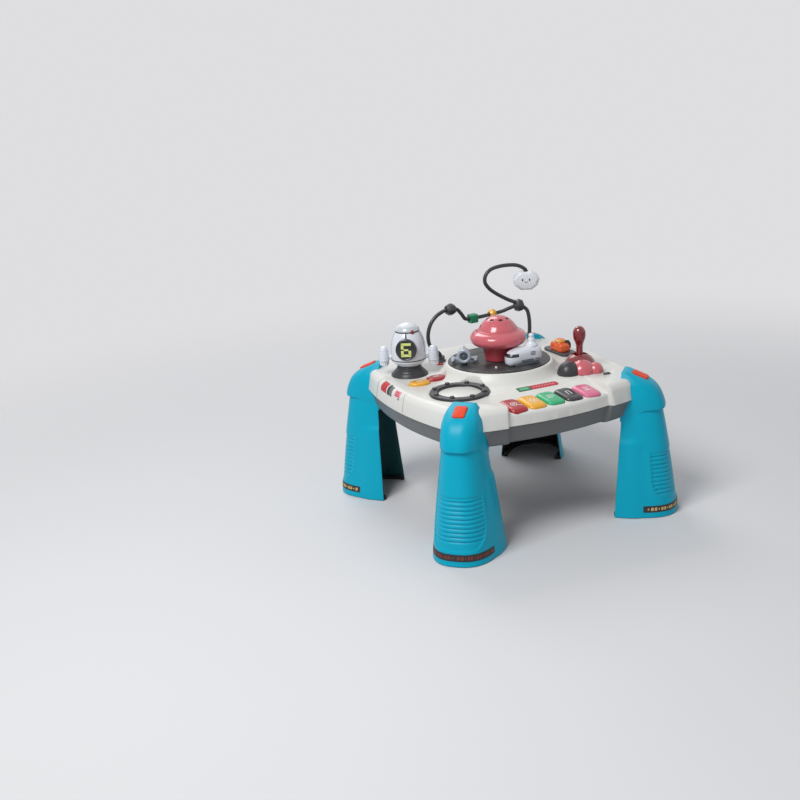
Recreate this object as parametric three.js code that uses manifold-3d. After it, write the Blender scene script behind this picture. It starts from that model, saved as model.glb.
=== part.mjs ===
// Musical activity table for a child who sits or stands at it: a two part top on four hollow legs that
// unclip at the corners, with a turntable, a rocket, a spinning ring, keys, a lever and a bead arch.
// Millimetres, +Z up, origin on the floor under the middle of the top, the keyboard side faces -Y.
import * as THREE from 'three';
import * as BufferGeometryUtils from 'three/addons/utils/BufferGeometryUtils.js';
import Module from 'manifold-3d';

const wasm = await Module();
wasm.setup();

// Sizes that several pieces share
const gap = 0.3;
const overrun = 6;
const weldDistance = 0.002;
const quarterTurn = Math.PI / 2;
const fullTurn = Math.PI * 2;
const degree = Math.PI / 180;

// Table top: two shells that meet at a seam; heights are above the floor
const table = {
  halfWidth: 197.5,
  endBulge: 20.35,
  cornerCut: 27.15,
  cornerReach: 9.1,
  deck: 228,
  topDepth: 33,
  bottomDepth: 30,
  wall: 3,
  edgeRound: 9,
  draft: 2,
  undersideInset: 13,
  undersideRound: 3.2,
  cornerBlock: 13,
};
const seam = table.deck - table.topDepth;
const underside = seam - table.bottomDepth;
const sideReach = table.halfWidth - table.endBulge - table.cornerCut;
const cornerReach = table.halfWidth + table.cornerReach;
const sideSteps = 8;
const edgeInShares = [0, 0.25, 1];
const edgeUpShares = [0, 0.62, 1];

// Keyboard bay in the front side, between two proud corner blocks; its floor slopes down to the child
const bay = {
  slopeAngle: 9.7,
  reach: 87.5,
  half: 91,
  height: 30,
  cornerRadius: 8,
  middleInset: 4.5,
  endInset: 13.5,
  step: 5,
  blockProud: 2,
  flare: 3,
};
const bayRear = table.halfWidth - bay.reach;

// Five press keys, hinged at their rear edge; heights are above and below the sloping floor
const key = {
  pitch: 33.4,
  width: 30.4,
  length: 42,
  slant: -4.5,
  rearGap: 33.5,
  firstX: -71,
  crown: 3.2,
  rise: 4.5,
  drop: 9,
  travel: 5,
  cornerRadius: 9,
  edge: 2,
  clearance: 0.7,
};
const keyNames = ['red', 'yellow', 'green', 'black', 'pink'];

// Round mound and the turntable on it, with the shaft that turns with the disc
const mound = { footRadius: 107, topRadius: 87.5, rise: 17.6 };
const moundOutShares = [0.3, 0.62, 0.86];
const moundUpShares = [0.12, 0.46, 0.86];
const disc = { radius: 84.5, thickness: 3.7, proud: 1.4, bevel: 0.6 };
const discTop = table.deck + mound.rise + disc.proud;
const shaft = { radius: 8, bossHeight: 4, collarRadius: 13, collarHeight: 4, rise: 17 };

// Hollow leg, a squared half ellipse in plan; reaches run out along the diagonal from the corner slot
const leg = {
  footBack: 6.6,
  footReach: 87.4,
  footHalf: 54,
  neckSetback: 2.4,
  neckReach: 62.4,
  neckHalf: 31,
  neckRise: 11,
  bulge: 2,
  wall: 3,
  skirt: 7,
};
const neckHeight = underside + leg.neckRise;
const openTop = underside - leg.skirt;
const legCurveShare = 0.77;
const legSteps = 12;
const panel = { bottom: 34, top: 108, depth: 1.6 };
const panelRibs = 9;
const panelReachShares = [0.36, 0.47, 0.53, 0.56, 0.58];
const band = { bottom: 9, top: 21, depth: 0.8 };
const bandReachShare = 0.62;
const foot = { thickness: 2.2, overhang: 4, inset: 0.8 };

// Proud cap at the head of each leg, from its skirt up to its crown
const cap = { lipRise: 12, scallopReach: 29.4, scallopRadius: 13, shellWall: 5 };
const capSkirt = { reach: 69.4, half: 37 };
const capFront = { drop: 40, reach: 65.4, half: 35.6 };
const capCheek = { drop: 25, reach: 59.4, half: 34 };
const capShoulder = { drop: 15, reach: 52.4, half: 32.4 };
const capBrow = { drop: 7.5, reach: 43.4, half: 30.4 };
const capSlope = { reach: 29.4, half: 27.5 };
const capCrown = { rise: 8, reach: 9.4, half: 21 };
const rail = { neckHalf: 8, headHalf: 11.5, depth: 7, topDrop: 9 };
const latch = {
  reach: 27.4,
  rise: 0.2,
  tiltAngle: 22,
  length: 26,
  width: 17,
  depth: 7,
  proud: 2.4,
  cornerRadius: 3.5,
  edge: 1.2,
};

// Saucer in the middle; rises are above the turntable disc
const saucer = {
  footRadius: 21.5,
  waistRadius: 27.5,
  waistRise: 24,
  rimRadius: 46.6,
  rimRise: 38,
  rimHalf: 3,
  neckRadius: 32,
  neckRise: 52,
  capRadius: 26.5,
  capRise: 59,
  topRise: 72,
  holeHalfWidth: 3,
  holeHalfLength: 4.5,
  holeRing: 14.5,
};
const saucerHoles = 6;
const saucerArchShares = [0.25, 0.5, 0.75];

// Two vehicles that ride on the turntable
const shuttle = {
  noseX: -15,
  y: -49,
  length: 62,
  halfWidth: 13,
  height: 28,
  visorRise: 12.5,
  visorHeight: 5.5,
  visorLength: 18,
  mastBack: 49,
  mastRadius: 3,
  mastHeight: 9,
  mastBall: 4,
};
const shuttleCornerShare = 0.62;
const shuttleLengthShares = [0, 0.04, 0.12, 0.26, 0.42, 0.6, 0.92, 1];
const shuttleWidthShares = [0.3, 0.56, 0.78, 0.93, 1, 1, 1, 0.9];
const shuttleHeightShares = [0.3, 0.44, 0.57, 0.76, 0.92, 1, 1, 0.92];
const plane = {
  x: -58,
  y: 13,
  headingAngle: -31,
  length: 34,
  bodyRadius: 9,
  axisRise: 15,
  ringRadius: 12,
  ringWidth: 9,
  ringBore: 6.5,
  ringBevel: 2.2,
  podSpread: 18.5,
  podRadius: 4.6,
  podLength: 20,
  podRise: 6,
  wingThickness: 3,
  wingLength: 12,
  finHeight: 11,
  finLength: 10,
};

// Rocket on a folded foot; rises are above the deck
const rocket = {
  x: -133,
  y: 69,
  facingAngle: -33,
  flangeRadius: 31,
  flangeHeight: 2.5,
  footRadius: 25,
  foldDepth: 3,
  neckRadius: 19,
  seatRise: 18.7,
  seatRadius: 22,
  bodyRadius: 29.5,
  bodyLowRise: 30,
  bodyHighRise: 48,
  shoulderRadius: 20.5,
  shoulderRise: 75,
  topRise: 89.5,
  displayRadius: 17.5,
  displayRise: 43,
  displayDepth: 5,
  displayProud: 1.2,
  boosterOffset: 41.5,
  boosterRadius: 9,
  boosterRise: 17,
  boosterHeight: 33,
  boosterSkirt: 2.4,
  strutRadius: 3.2,
  strutRise: 31,
};
const rocketFolds = 3;
const rocketBodyShares = [0.33, 0.67, 1];
const noseInShares = [0.93, 0.72, 0.4];
const noseUpShares = [0.3, 0.6, 0.87];

// Ring spinner and the press buttons
const ring = {
  x: -117,
  y: -76,
  outerRadius: 47.5,
  innerRadius: 35,
  height: 6,
  chamfer: 1.5,
  seatDepth: 2,
  bumpRadius: 4,
  bumpHeight: 3,
  clearance: 0.8,
};
const ringBumps = 8;
const button = { rise: 5, depth: 12, clearance: 0.5 };
const yellowButton = { x: -146, y: 7, halfLength: 18, halfWidth: 12, turnAngle: -8 };
const redButton = { x: -111, y: 16, halfLength: 18, halfWidth: 12, turnAngle: 4 };
const smallButton = { x: -63, y: 92, halfLength: 5.5, halfWidth: 5.5, turnAngle: 0 };

// Lever corner; places are in plan, heights are above the deck
const lever = { x: 108, y: -78, pivotRise: 15, ballRadius: 8.5, ballClearance: 0.8, stickRadius: 5.2 };
const leverSlotHalf = 11.5;
const leverKnob = { rise: 43, radius: 10.5, halfHeight: 15 };
const leverGuard = { radius: 28, height: 24 };
const leverBase = { x: 101, y: -96, radius: 21, height: 17 };
const leverLobe = { x: 119, y: -107, radius: 13.5, height: 14 };
const leverDome = { x: 77, y: -91, radius: 18.5, height: 21 };

// Toy car that slides along a track, and the power switch
const track = { x: 141, y: 32, length: 70, width: 30, height: 4 };
const trackSlot = { width: 10, length: 42, depth: 2.5 };
const car = { length: 36, width: 22, height: 13, corner: 5.5, runnerLength: 18, runnerHeight: 5 };
const carCabin = { width: 15.4, length: 16, height: 6, corner: 4.4 };
const carWheel = { radius: 8, width: 5, back: 9, clearance: 0.9 };
const roofShare = 0.8;
const bonnetShare = 0.86;
const power = { back: 69.5, halfLength: 6, halfWidth: 4, corner: 3.7, travel: 3, rise: 2, depth: 4 };
const powerPlace = table.halfWidth - power.back;
const powerClearance = 0.4;

// Bead arch: tube routes as shares of the arch's half span, its lean and its rise over the deck
const arch = { middleX: 18, halfSpan: 95, y: 105, lean: 23, rise: 90 };
const tube = { radius: 3.3, clearance: 0.4 };
const tubeHalfSteps = 4;
const leftTubeSteps = 38;
const rightTubeSteps = 10;
const swanTubeSteps = 26;
const collar = { radius: 8, flange: 3, height: 9 };
const leftTubeShares = [
  [-0.758, -0.174, 0.033], [-0.758, -0.174, 0.133], [-0.842, -0.13, 0.222], [-0.968, -0.043, 0.356],
  [-1, 0, 0.556], [-0.937, 0, 0.767], [-0.821, 0, 0.9], [-0.653, 0, 0.983], [-0.526, 0, 0.989],
  [-0.4, 0, 0.972], [-0.305, 0, 0.867], [-0.232, 0, 0.761], [-0.147, 0, 0.744], [0, 0, 0.744],
  [0.168, 0, 0.75], [0.253, 0, 0.756], [0.421, 0, 0.767], [0.547, 0.087, 0.789], [0.653, 0.261, 0.833],
  [0.747, 0.457, 0.872],
];
const rightTubeShares = [
  [0.968, 1, 0.033], [0.968, 1, 0.267], [0.979, 1, 0.467], [0.979, 0.935, 0.644], [0.958, 0.826, 0.778],
  [0.905, 0.696, 0.844],
];
const swanTubeShares = [
  [0.747, 0.565, 0.956], [0.632, 0.565, 1.011], [0.484, 0.565, 1.1], [0.337, 0.565, 1.2],
  [0.211, 0.565, 1.311], [0.132, 0.565, 1.444], [0.158, 0.565, 1.578], [0.263, 0.565, 1.667],
  [0.432, 0.565, 1.7], [0.621, 0.565, 1.7], [0.8, 0.565, 1.672], [0.926, 0.565, 1.611],
  [0.995, 0.565, 1.544], [0.995, 0.565, 1.456],
];
const connectorShares = [0.821, 0.565, 0.883];
const connectorRadius = 11.5;
const connectorFacets = 6;

// Beads on the left tube, placed by their share of its length, and the charm on the swan neck
const beadClearance = 0.9;
const blackBead = { radius: 10.5, length: 17 };
const greenBead = { side: 15, length: 14, corner: 2 };
const yellowBead = { radius: 9, length: 12 };
const blackBeadShare = 0.4775;
const greenBeadShare = 0.6823;
const yellowBeadShare = 0.8343;
const beadEndShare = 0.68;
const charm = { halfWidth: 23.5, halfHeight: 16.5, depth: 19, boreDepth: 7, clearance: 1.5, turnAngle: -30 };
const charmFaceShare = 0.78;
const charmWaistShare = 0.4;
const charmOutlineShares = [
  [-0.42, -1], [0.42, -1], [0.86, -0.5], [1, 0.1], [0.8, 0.62], [0.42, 1], [-0.42, 1], [-0.8, 0.62],
  [-1, 0.1], [-0.86, -0.5],
];

// What the housing holds
const door = { x: 60, y: 40, length: 96, width: 66, thickness: 2.4, ledge: 4 };
const board = { x: -30, y: -60, length: 110, width: 60, thickness: 1.6, bossRadius: 4, bossHeight: 8 };
const speaker = { x: -90, y: 60, radius: 25, magnetRadius: 14, height: 16, flange: 2.5, slotWidth: 2.4 };
const speakerSlots = 5;

// Finishes
const finish = (color, roughness, metalness = 0) => new THREE.MeshStandardMaterial({
  color,
  roughness,
  metalness,
});
const white = finish(0xe4e4dc, 0.4);
const grey = finish(0x6d6d6f, 0.5);
const blue = finish(0x18aed6, 0.35);
const orange = finish(0xe2480f, 0.35);
const black = finish(0x37383a, 0.45);
const rubber = finish(0x1f2022, 0.85);
const pink = finish(0xd26b74, 0.3);
const deepPink = finish(0xa53a40, 0.3);
const paleGrey = finish(0xc8d0d7, 0.3);
const silver = finish(0x9aa4ad, 0.3, 0.2);
const crimson = finish(0x780812, 0.15);
const green = finish(0x28a56f, 0.4);
const yellow = finish(0xeaa823, 0.35);
const red = finish(0xb01420, 0.3);
const keyPink = finish(0xdd7a98, 0.35);
const boardGreen = finish(0x1d5a35, 0.6);
const steel = finish(0xb4b6b8, 0.3, 0.9);

const root = new THREE.Group();

// Geometry helpers

function solidOf(geometry) {
  const bare = geometry.clone();
  bare.deleteAttribute('normal');
  bare.deleteAttribute('uv');
  const welded = BufferGeometryUtils.mergeVertices(bare, weldDistance);
  return new wasm.Manifold(new wasm.Mesh({
    numProp: 3,
    vertProperties: new Float32Array(welded.attributes.position.array),
    triVerts: new Uint32Array(welded.index.array),
  }));
}

function geometryOf(solid) {
  const mesh = solid.getMesh();
  const geometry = new THREE.BufferGeometry();
  geometry.setAttribute('position', new THREE.BufferAttribute(mesh.vertProperties, 3));
  geometry.setIndex(new THREE.BufferAttribute(mesh.triVerts, 1));
  geometry.computeVertexNormals();
  return geometry;
}

function add(name, solid, material, parent = root) {
  const mesh = new THREE.Mesh(geometryOf(solid), material);
  mesh.name = name;
  parent.add(mesh);
}

function cutAll(solid, cuts) {
  return cuts.reduce((rest, cut) => rest.subtract(cut), solid);
}

// A closed body through rings of equal count that run anticlockwise seen from the last ring
function loft(rings) {
  const count = rings[0].length;
  const last = (rings.length - 1) * count;
  const triangles = [];
  for (let low = 0; low < last; low += count) {
    for (let step = 0; step < count; step += 1) {
      const next = (step + 1) % count;
      const high = low + count;
      triangles.push(low + step, low + next, high + next, low + step, high + next, high + step);
    }
  }
  for (const [a, b, c] of THREE.ShapeUtils.triangulateShape(rings[0], [])) {
    triangles.push(a, c, b);
  }
  for (const [a, b, c] of THREE.ShapeUtils.triangulateShape(rings[rings.length - 1], [])) {
    triangles.push(last + a, last + b, last + c);
  }
  const geometry = new THREE.BufferGeometry();
  geometry.setFromPoints(rings.flat());
  geometry.setIndex(triangles);
  return solidOf(geometry);
}

// A body of revolution about Z; profile points are radius and height, from the bottom up
function revolve(profile, segments) {
  const points = profile.map(([radius, height]) => new THREE.Vector2(radius, height));
  return solidOf(new THREE.LatheGeometry(points, segments).rotateX(quarterTurn));
}

// A box by its size and the middle of its lower face
function block(width, length, height, x, y, bottom) {
  return solidOf(new THREE.BoxGeometry(width, length, height).translate(x, y, bottom + height / 2));
}

function rod(radius, bottom, top, segments) {
  const height = top - bottom;
  const cylinder = new THREE.CylinderGeometry(radius, radius, height, segments);
  return solidOf(cylinder.rotateX(quarterTurn).translate(0, 0, bottom + height / 2));
}

function ball(radius, segments) {
  return solidOf(new THREE.SphereGeometry(radius, segments, segments / 2).rotateX(quarterTurn));
}

// Half of a stretched ball that stands at a height
function dome(size, grow, base, segments) {
  const levels = segments / 4;
  const radius = size.radius + grow;
  const height = size.height + grow;
  const profile = [[0, base], [radius, base]];
  for (let level = 1; level < levels; level += 1) {
    const rise = (level / levels) * quarterTurn;
    profile.push([radius * Math.cos(rise), base + height * Math.sin(rise)]);
  }
  profile.push([0, base + height]);
  return revolve(profile, segments);
}

function ringAt(outline, height) {
  return outline.map(([x, y]) => new THREE.Vector3(x, y, height));
}

function prism(outline, bottom, top) {
  return loft([ringAt(outline, bottom), ringAt(outline, top)]);
}

function scaled(outline, factorX, factorY = factorX) {
  return outline.map(([x, y]) => [x * factorX, y * factorY]);
}

function ellipse(halfLength, halfWidth, turn, steps) {
  const outline = [];
  for (let step = 0; step < steps; step += 1) {
    const angle = (step / steps) * fullTurn;
    const x = halfLength * Math.cos(angle);
    const y = halfWidth * Math.sin(angle);
    outline.push([x * Math.cos(turn) - y * Math.sin(turn), x * Math.sin(turn) + y * Math.cos(turn)]);
  }
  return outline;
}

// A rectangle with round corners, centred on the origin
function rounded(length, width, radius, steps) {
  const outline = [];
  const corners = [[1, 1], [-1, 1], [-1, -1], [1, -1]];
  corners.forEach(([signX, signY], turns) => {
    for (let step = 0; step <= steps; step += 1) {
      const angle = (turns + step / steps) * quarterTurn;
      outline.push([
        signX * (length / 2 - radius) + radius * Math.cos(angle),
        signY * (width / 2 - radius) + radius * Math.sin(angle),
      ]);
    }
  });
  return outline;
}

// Table outline: four bulged sides; the front one steps back between its two corner blocks

function sideReachAt(along) {
  return table.halfWidth - table.endBulge * (along / sideReach) ** 2;
}

function frontReachAt(along) {
  const inset = bay.middleInset + (bay.endInset - bay.middleInset) * (along / bay.half) ** 2;
  return table.halfWidth - inset;
}

function tableOutline() {
  const outline = [];
  const blockEnd = bay.half + bay.step;
  const blockMiddle = (sideReach + blockEnd) / 2;
  const addBlockPoint = (along) => outline.push([along, -(sideReachAt(along) + bay.blockProud)]);
  [-sideReach, -blockMiddle, -blockEnd].forEach(addBlockPoint);
  for (let step = 0; step <= sideSteps; step += 1) {
    const along = bay.half * (2 * step / sideSteps - 1);
    outline.push([along, -frontReachAt(along)]);
  }
  [blockEnd, blockMiddle, sideReach].forEach(addBlockPoint);
  const turned = [[0, 1], [-1, 0], [0, -1]];
  for (const [cosine, sine] of turned) {
    for (let step = 0; step <= sideSteps; step += 1) {
      const along = sideReach * (2 * step / sideSteps - 1);
      const reach = -sideReachAt(along);
      outline.push([along * cosine - reach * sine, along * sine + reach * cosine]);
    }
  }
  return outline;
}

function insetTable(inset, height) {
  return ringAt(scaled(tableOutline(), 1 - inset / table.halfWidth), height);
}

// Leg rings: half of a squared ellipse, x runs out along the diagonal

function legRing(inner, outer, half, height, dentAt = () => 0) {
  const points = [];
  for (let step = 0; step <= legSteps; step += 1) {
    const angle = (step / legSteps) * Math.PI - quarterTurn;
    const across = Math.sin(angle);
    const shrink = 1 - dentAt(Math.abs(across)) / half;
    const reach = Math.max(Math.cos(angle), 0) ** legCurveShare * (outer - inner);
    const width = Math.sign(across) * Math.abs(across) ** legCurveShare * half;
    points.push(new THREE.Vector3(inner + reach * shrink, width * shrink, height));
  }
  return points;
}

function legSize(height) {
  const share = height / neckHeight;
  const swell = leg.bulge * Math.sin(Math.PI * share);
  return {
    inner: cornerReach - leg.footBack + (leg.footBack + leg.neckSetback) * share,
    outer: cornerReach + leg.footReach - (leg.footReach - leg.neckReach) * share + swell,
    half: leg.footHalf - (leg.footHalf - leg.neckHalf) * share,
  };
}

// How deep a groove of the ribbed panel or the band round the foot is, at a height and a place across
function grooveDepth(height, across) {
  if (height > panel.bottom) {
    const row = Math.floor((height - panel.bottom) / (panel.top - panel.bottom) * panelRibs);
    const share = panelReachShares[Math.min(row, panelReachShares.length - 1)];
    return across < Math.sin(share * quarterTurn) ? panel.depth : 0;
  }
  return across < Math.sin(bandReachShare * quarterTurn) ? band.depth : 0;
}

function legOuterRings() {
  const levels = [
    [foot.thickness + gap, false],
    [band.bottom - band.depth, false],
    [band.bottom, true],
    [band.top, true],
    [band.top + band.depth, false],
  ];
  const pitch = (panel.top - panel.bottom) / panelRibs;
  for (let rib = 0; rib < panelRibs; rib += 1) {
    const start = panel.bottom + rib * pitch;
    levels.push([start + pitch / 4, false], [start + 3 * pitch / 4, true]);
  }
  levels.push([panel.top + pitch / 4, false], [underside + cap.lipRise + leg.wall, false]);
  return levels.map(([height, isGroove]) => {
    const size = legSize(height);
    const dentAt = (across) => (isGroove ? grooveDepth(height, across) : 0);
    return legRing(size.inner, size.outer, size.half, height, dentAt);
  });
}

function legHollowRings() {
  return [-overrun, openTop / 2, openTop].map((height) => {
    const size = legSize(height);
    const points = legRing(size.inner, size.outer - leg.wall, size.half - leg.wall, height);
    points[0].x -= overrun;
    points[points.length - 1].x -= overrun;
    return points;
  });
}

function capRings(grow) {
  const inner = cornerReach - grow;
  const ringOf = (size, height) => legRing(inner, cornerReach + size.reach + grow, size.half + grow, height);
  return [
    ringOf(capSkirt, openTop),
    ringOf(capFront, table.deck - capFront.drop),
    ringOf(capCheek, table.deck - capCheek.drop),
    ringOf(capShoulder, table.deck - capShoulder.drop),
    ringOf(capBrow, table.deck - capBrow.drop),
    ringOf(capSlope, table.deck),
    ringOf(capCrown, table.deck + capCrown.rise + grow),
  ];
}

// The space in the cap: it follows the leg up to the lip and the cap above it
function capHollowRings() {
  const inner = cornerReach + leg.wall;
  const rings = [openTop - leg.wall, underside + cap.lipRise - leg.wall].map((height) => {
    const size = legSize(height);
    return legRing(inner, size.outer - leg.wall, size.half - leg.wall, height);
  });
  for (const level of [capFront, capCheek, capShoulder]) {
    rings.push(legRing(
      inner,
      cornerReach + level.reach - cap.shellWall,
      level.half - cap.shellWall,
      table.deck - level.drop,
    ));
  }
  return rings;
}

// The tongue behind the cap that hooks into the table's corner
function capRail(clearance, bottom, top) {
  const inner = cornerReach - rail.depth - clearance;
  const outer = cornerReach + leg.wall / 2;
  const neck = rail.neckHalf + clearance;
  const head = rail.headHalf + clearance;
  return prism([[inner, -head], [outer, -neck], [outer, neck], [inner, head]], bottom, top);
}

// Carries a solid from the latch's own frame onto the sloped top of the cap
function ontoSlope(solid) {
  return solid.rotate([0, latch.tiltAngle, 0])
    .translate([cornerReach + latch.reach, 0, table.deck + latch.rise]);
}

function latchSolid(grow, bottom, top) {
  const outline = rounded(latch.length + 2 * grow, latch.width + 2 * grow, latch.cornerRadius + grow, 2);
  const edge = scaled(outline, 1 - 2 * latch.edge / latch.length, 1 - 2 * latch.edge / latch.width);
  return ontoSlope(loft([ringAt(outline, bottom), ringAt(outline, top - latch.edge), ringAt(edge, top)]));
}

// Takes the cap away below its lip, with a round end where the lip meets the flanks
function scallopSolid() {
  const start = cornerReach + cap.scallopReach;
  const end = cornerReach + leg.footReach;
  const lip = underside + cap.lipRise;
  const shape = new THREE.Shape();
  shape.moveTo(start, openTop - overrun);
  shape.lineTo(end, openTop - overrun);
  shape.lineTo(end, lip);
  shape.lineTo(start + cap.scallopRadius, lip);
  shape.absarc(start + cap.scallopRadius, lip - cap.scallopRadius, cap.scallopRadius, quarterTurn, Math.PI);
  shape.closePath();
  const depth = 2 * leg.footHalf;
  const geometry = new THREE.ExtrudeGeometry(shape, { depth, bevelEnabled: false, curveSegments: 3 });
  return solidOf(geometry.rotateX(quarterTurn).translate(0, depth / 2, 0));
}

function legSolid() {
  const side = 2 * leg.footHalf;
  const latchHole = latchSolid(gap, -latch.depth - overrun, latch.proud + overrun);
  const headCuts = [ontoSlope(block(side, side, side, 0, 0, 0)), scallopSolid()];
  const head = cutAll(loft(capRings(0)), headCuts);
  const whole = head.add(loft(legOuterRings())).add(capRail(0, openTop + gap, table.deck - rail.topDrop));
  return cutAll(whole, [loft(legHollowRings()), loft(capHollowRings()), latchHole]);
}

// Rubber strip under the leg's edge, with tips that reach past its two flanks
function footSolid() {
  const size = legSize(0);
  const inner = size.inner - foot.overhang;
  const outer = size.outer - foot.inset;
  const half = size.half - foot.inset;
  const outside = legRing(inner, outer, half, 0);
  const inside = legRing(inner, outer - leg.wall, half - leg.wall, 0).reverse();
  const low = outside.concat(inside);
  return loft([low, low.map((point) => point.clone().setZ(foot.thickness))]);
}

const legPlaces = [['near', 225], ['right', 315], ['far', 45], ['left', 135]];

function addLegs() {
  for (const [place, heading] of legPlaces) {
    const corner = new THREE.Group();
    corner.rotation.z = heading * degree;
    root.add(corner);
    add(`leg_${place}`, legSolid(), blue, corner);
    add(`leg_foot_${place}`, footSolid(), rubber, corner);
    add(`leg_latch_${place}`, latchSolid(0, -latch.depth, latch.proud), orange, corner);
  }
}

// The slots that take the caps and their rails, one for each corner
function cornerSlots() {
  const below = capRings(gap)[0];
  const mouth = loft([openTop - overrun, openTop + gap].map((height) => below.map(
    (point) => point.clone().setZ(height),
  )));
  const slot = loft(capRings(gap))
    .add(mouth)
    .add(capRail(gap, underside - overrun, table.deck - rail.topDrop + gap));
  return legPlaces.map(([, heading]) => slot.rotate([0, 0, heading]));
}

// Solid corners that the shells keep round the slots
function cornerBlocks() {
  const side = 2 * table.halfWidth;
  const corner = block(side, side, side, cornerReach - table.cornerBlock + side / 2, 0, underside / 2);
  return legPlaces.map(([, heading]) => corner.rotate([0, 0, heading]));
}

// Keys: crowned pads with a slanted rounded outline

function keyOutline(grow) {
  const outline = rounded(key.width + 2 * grow, key.length + 2 * grow, key.cornerRadius + grow, 3);
  return outline.map(([x, y]) => [x + key.slant * (y / key.length), y]);
}

function keyPlace(index) {
  return [key.firstX + index * key.pitch, -(key.rearGap + key.length / 2), 0];
}

// Carries a solid from the bay floor's own frame, which starts at the rear edge, onto the slope
function ontoBayFloor(solid) {
  return solid.rotate([bay.slopeAngle, 0, 0]).translate([0, -bayRear, table.deck]);
}

function keySolid() {
  const outline = keyOutline(0);
  const top = key.rise;
  const inset = (edge) => scaled(outline, 1 - 2 * edge / key.width, 1 - 2 * edge / key.length);
  return loft([
    ringAt(outline, -key.drop),
    ringAt(outline, top - key.crown),
    ringAt(inset(key.edge), top - key.crown / 4),
    ringAt(inset(3 * key.edge), top),
  ]);
}

function addKeys() {
  const colours = [red, yellow, green, black, keyPink];
  keyNames.forEach((name, index) => {
    add(`key_${name}`, ontoBayFloor(keySolid().translate(keyPlace(index))), colours[index]);
  });
}

function keySlots() {
  const slot = prism(keyOutline(key.clearance), -key.drop - key.travel, key.rise);
  return keyNames.map((name, index) => ontoBayFloor(slot.translate(keyPlace(index))));
}

// Press buttons: oval pads in round openings of the deck

function buttonOutline(size, grow) {
  return ellipse(size.halfLength + grow, size.halfWidth + grow, size.turnAngle * degree, 14);
}

function buttonSolid(size, rise) {
  const top = table.deck + rise;
  const solid = loft([
    ringAt(buttonOutline(size, 0), table.deck - button.depth),
    ringAt(buttonOutline(size, 0), top - rise / 3),
    ringAt(buttonOutline(size, -rise / 2), top),
  ]);
  return solid.translate([size.x, size.y, 0]);
}

function addButtons() {
  add('button_yellow', buttonSolid(yellowButton, button.rise), yellow);
  add('button_red', buttonSolid(redButton, button.rise), red);
  add('button_small', buttonSolid(smallButton, button.rise / 2), red);
}

function buttonHoles() {
  return [yellowButton, redButton, smallButton].map((size) => prism(
    buttonOutline(size, button.clearance),
    table.deck - button.depth,
    table.deck + overrun,
  ).translate([size.x, size.y, 0]));
}

// Ring spinner with a row of bumps, in a shallow round seat

function ringProfile(inner, outer, bottom, top, chamfer) {
  return [
    [inner, bottom],
    [outer, bottom],
    [outer, top - chamfer],
    [outer - chamfer, top],
    [inner + chamfer, top],
    [inner, top - chamfer],
    [inner, bottom],
  ];
}

function addRing() {
  const bottom = table.deck - ring.seatDepth + gap;
  const top = bottom + ring.height;
  let solid = revolve(ringProfile(ring.innerRadius, ring.outerRadius, bottom, top, ring.chamfer), 32);
  const middle = (ring.innerRadius + ring.outerRadius) / 2;
  const bump = rod(ring.bumpRadius, bottom + ring.chamfer, top + ring.bumpHeight, 8)
    .translate([middle, 0, 0]);
  for (let count = 0; count < ringBumps; count += 1) {
    solid = solid.add(bump.rotate([0, 0, (count / ringBumps) * (fullTurn / degree)]));
  }
  add('ring_spinner', solid.translate([ring.x, ring.y, 0]), black);
}

function ringSeat() {
  const inner = ring.innerRadius - ring.clearance;
  const outer = ring.outerRadius + ring.clearance;
  const floor = table.deck - ring.seatDepth;
  return revolve(ringProfile(inner, outer, floor, discTop, 0), 32).translate([ring.x, ring.y, 0]);
}

// Top shell: deck, mound and keyboard bay over a hollow, with an opening for all that passes through

function moundSolid(grow, bottom, segments) {
  const run = mound.footRadius - mound.topRadius;
  const slope = moundOutShares.map((outShare, index) => [
    mound.footRadius - run * outShare + grow,
    table.deck + mound.rise * moundUpShares[index] + grow,
  ]);
  return revolve([
    [0, bottom],
    [mound.footRadius + grow, bottom],
    [mound.footRadius + grow, table.deck + grow],
    ...slope,
    [mound.topRadius + grow, table.deck + mound.rise + grow],
    [0, table.deck + mound.rise + grow],
  ], segments);
}

function baySolid(grow, bottom) {
  const length = bay.reach + 2 * bay.cornerRadius;
  const outline = rounded(2 * (bay.half + grow), length + 2 * grow, bay.cornerRadius, 3);
  const mouth = scaled(outline, 1 + bay.flare / bay.half, 1);
  const solid = loft([ringAt(outline, bottom), ringAt(mouth, bay.height)]);
  return ontoBayFloor(solid.translate([0, -length / 2, 0]));
}

function topHollow() {
  const low = seam - overrun;
  const shell = loft([
    insetTable(table.wall, low),
    insetTable(table.wall + table.edgeRound / 3, table.deck - table.wall),
  ]);
  const room = cutAll(shell, [...cornerBlocks(), baySolid(table.wall, -table.wall)]);
  return room.add(moundSolid(-table.wall, low, 24));
}

function addTopShell() {
  const rings = [insetTable(0, seam + gap)];
  edgeInShares.forEach((inShare, index) => {
    const height = table.deck - table.edgeRound * (1 - edgeUpShares[index]);
    rings.push(insetTable(table.draft + table.edgeRound * inShare, height));
  });
  const body = loft(rings).add(moundSolid(0, table.deck - overrun, 40));
  const discSeat = rod(disc.radius + 2 * gap, discTop - disc.thickness - gap, discTop + overrun, 40);
  const bore = rod(shaft.radius + gap, seam, discTop + overrun, 16);
  const reach = 2 * (power.halfLength + powerClearance) + power.travel;
  const switchSlot = rounded(reach, 2 * (power.halfWidth + powerClearance), power.corner, 3);
  const slotFloor = table.deck - power.depth - gap;
  const solid = cutAll(body, [
    baySolid(0, 0),
    ringSeat(),
    topHollow(),
    discSeat,
    bore,
    ...cornerSlots(),
    ...keySlots(),
    ...buttonHoles(),
    prism(switchSlot, slotFloor, table.deck + overrun).translate([powerPlace, -powerPlace, 0]),
  ]);
  add('top_shell', solid, white);
}

// Bottom shell: a tray with corner blocks, bosses, a battery door and slots for the speaker

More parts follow.
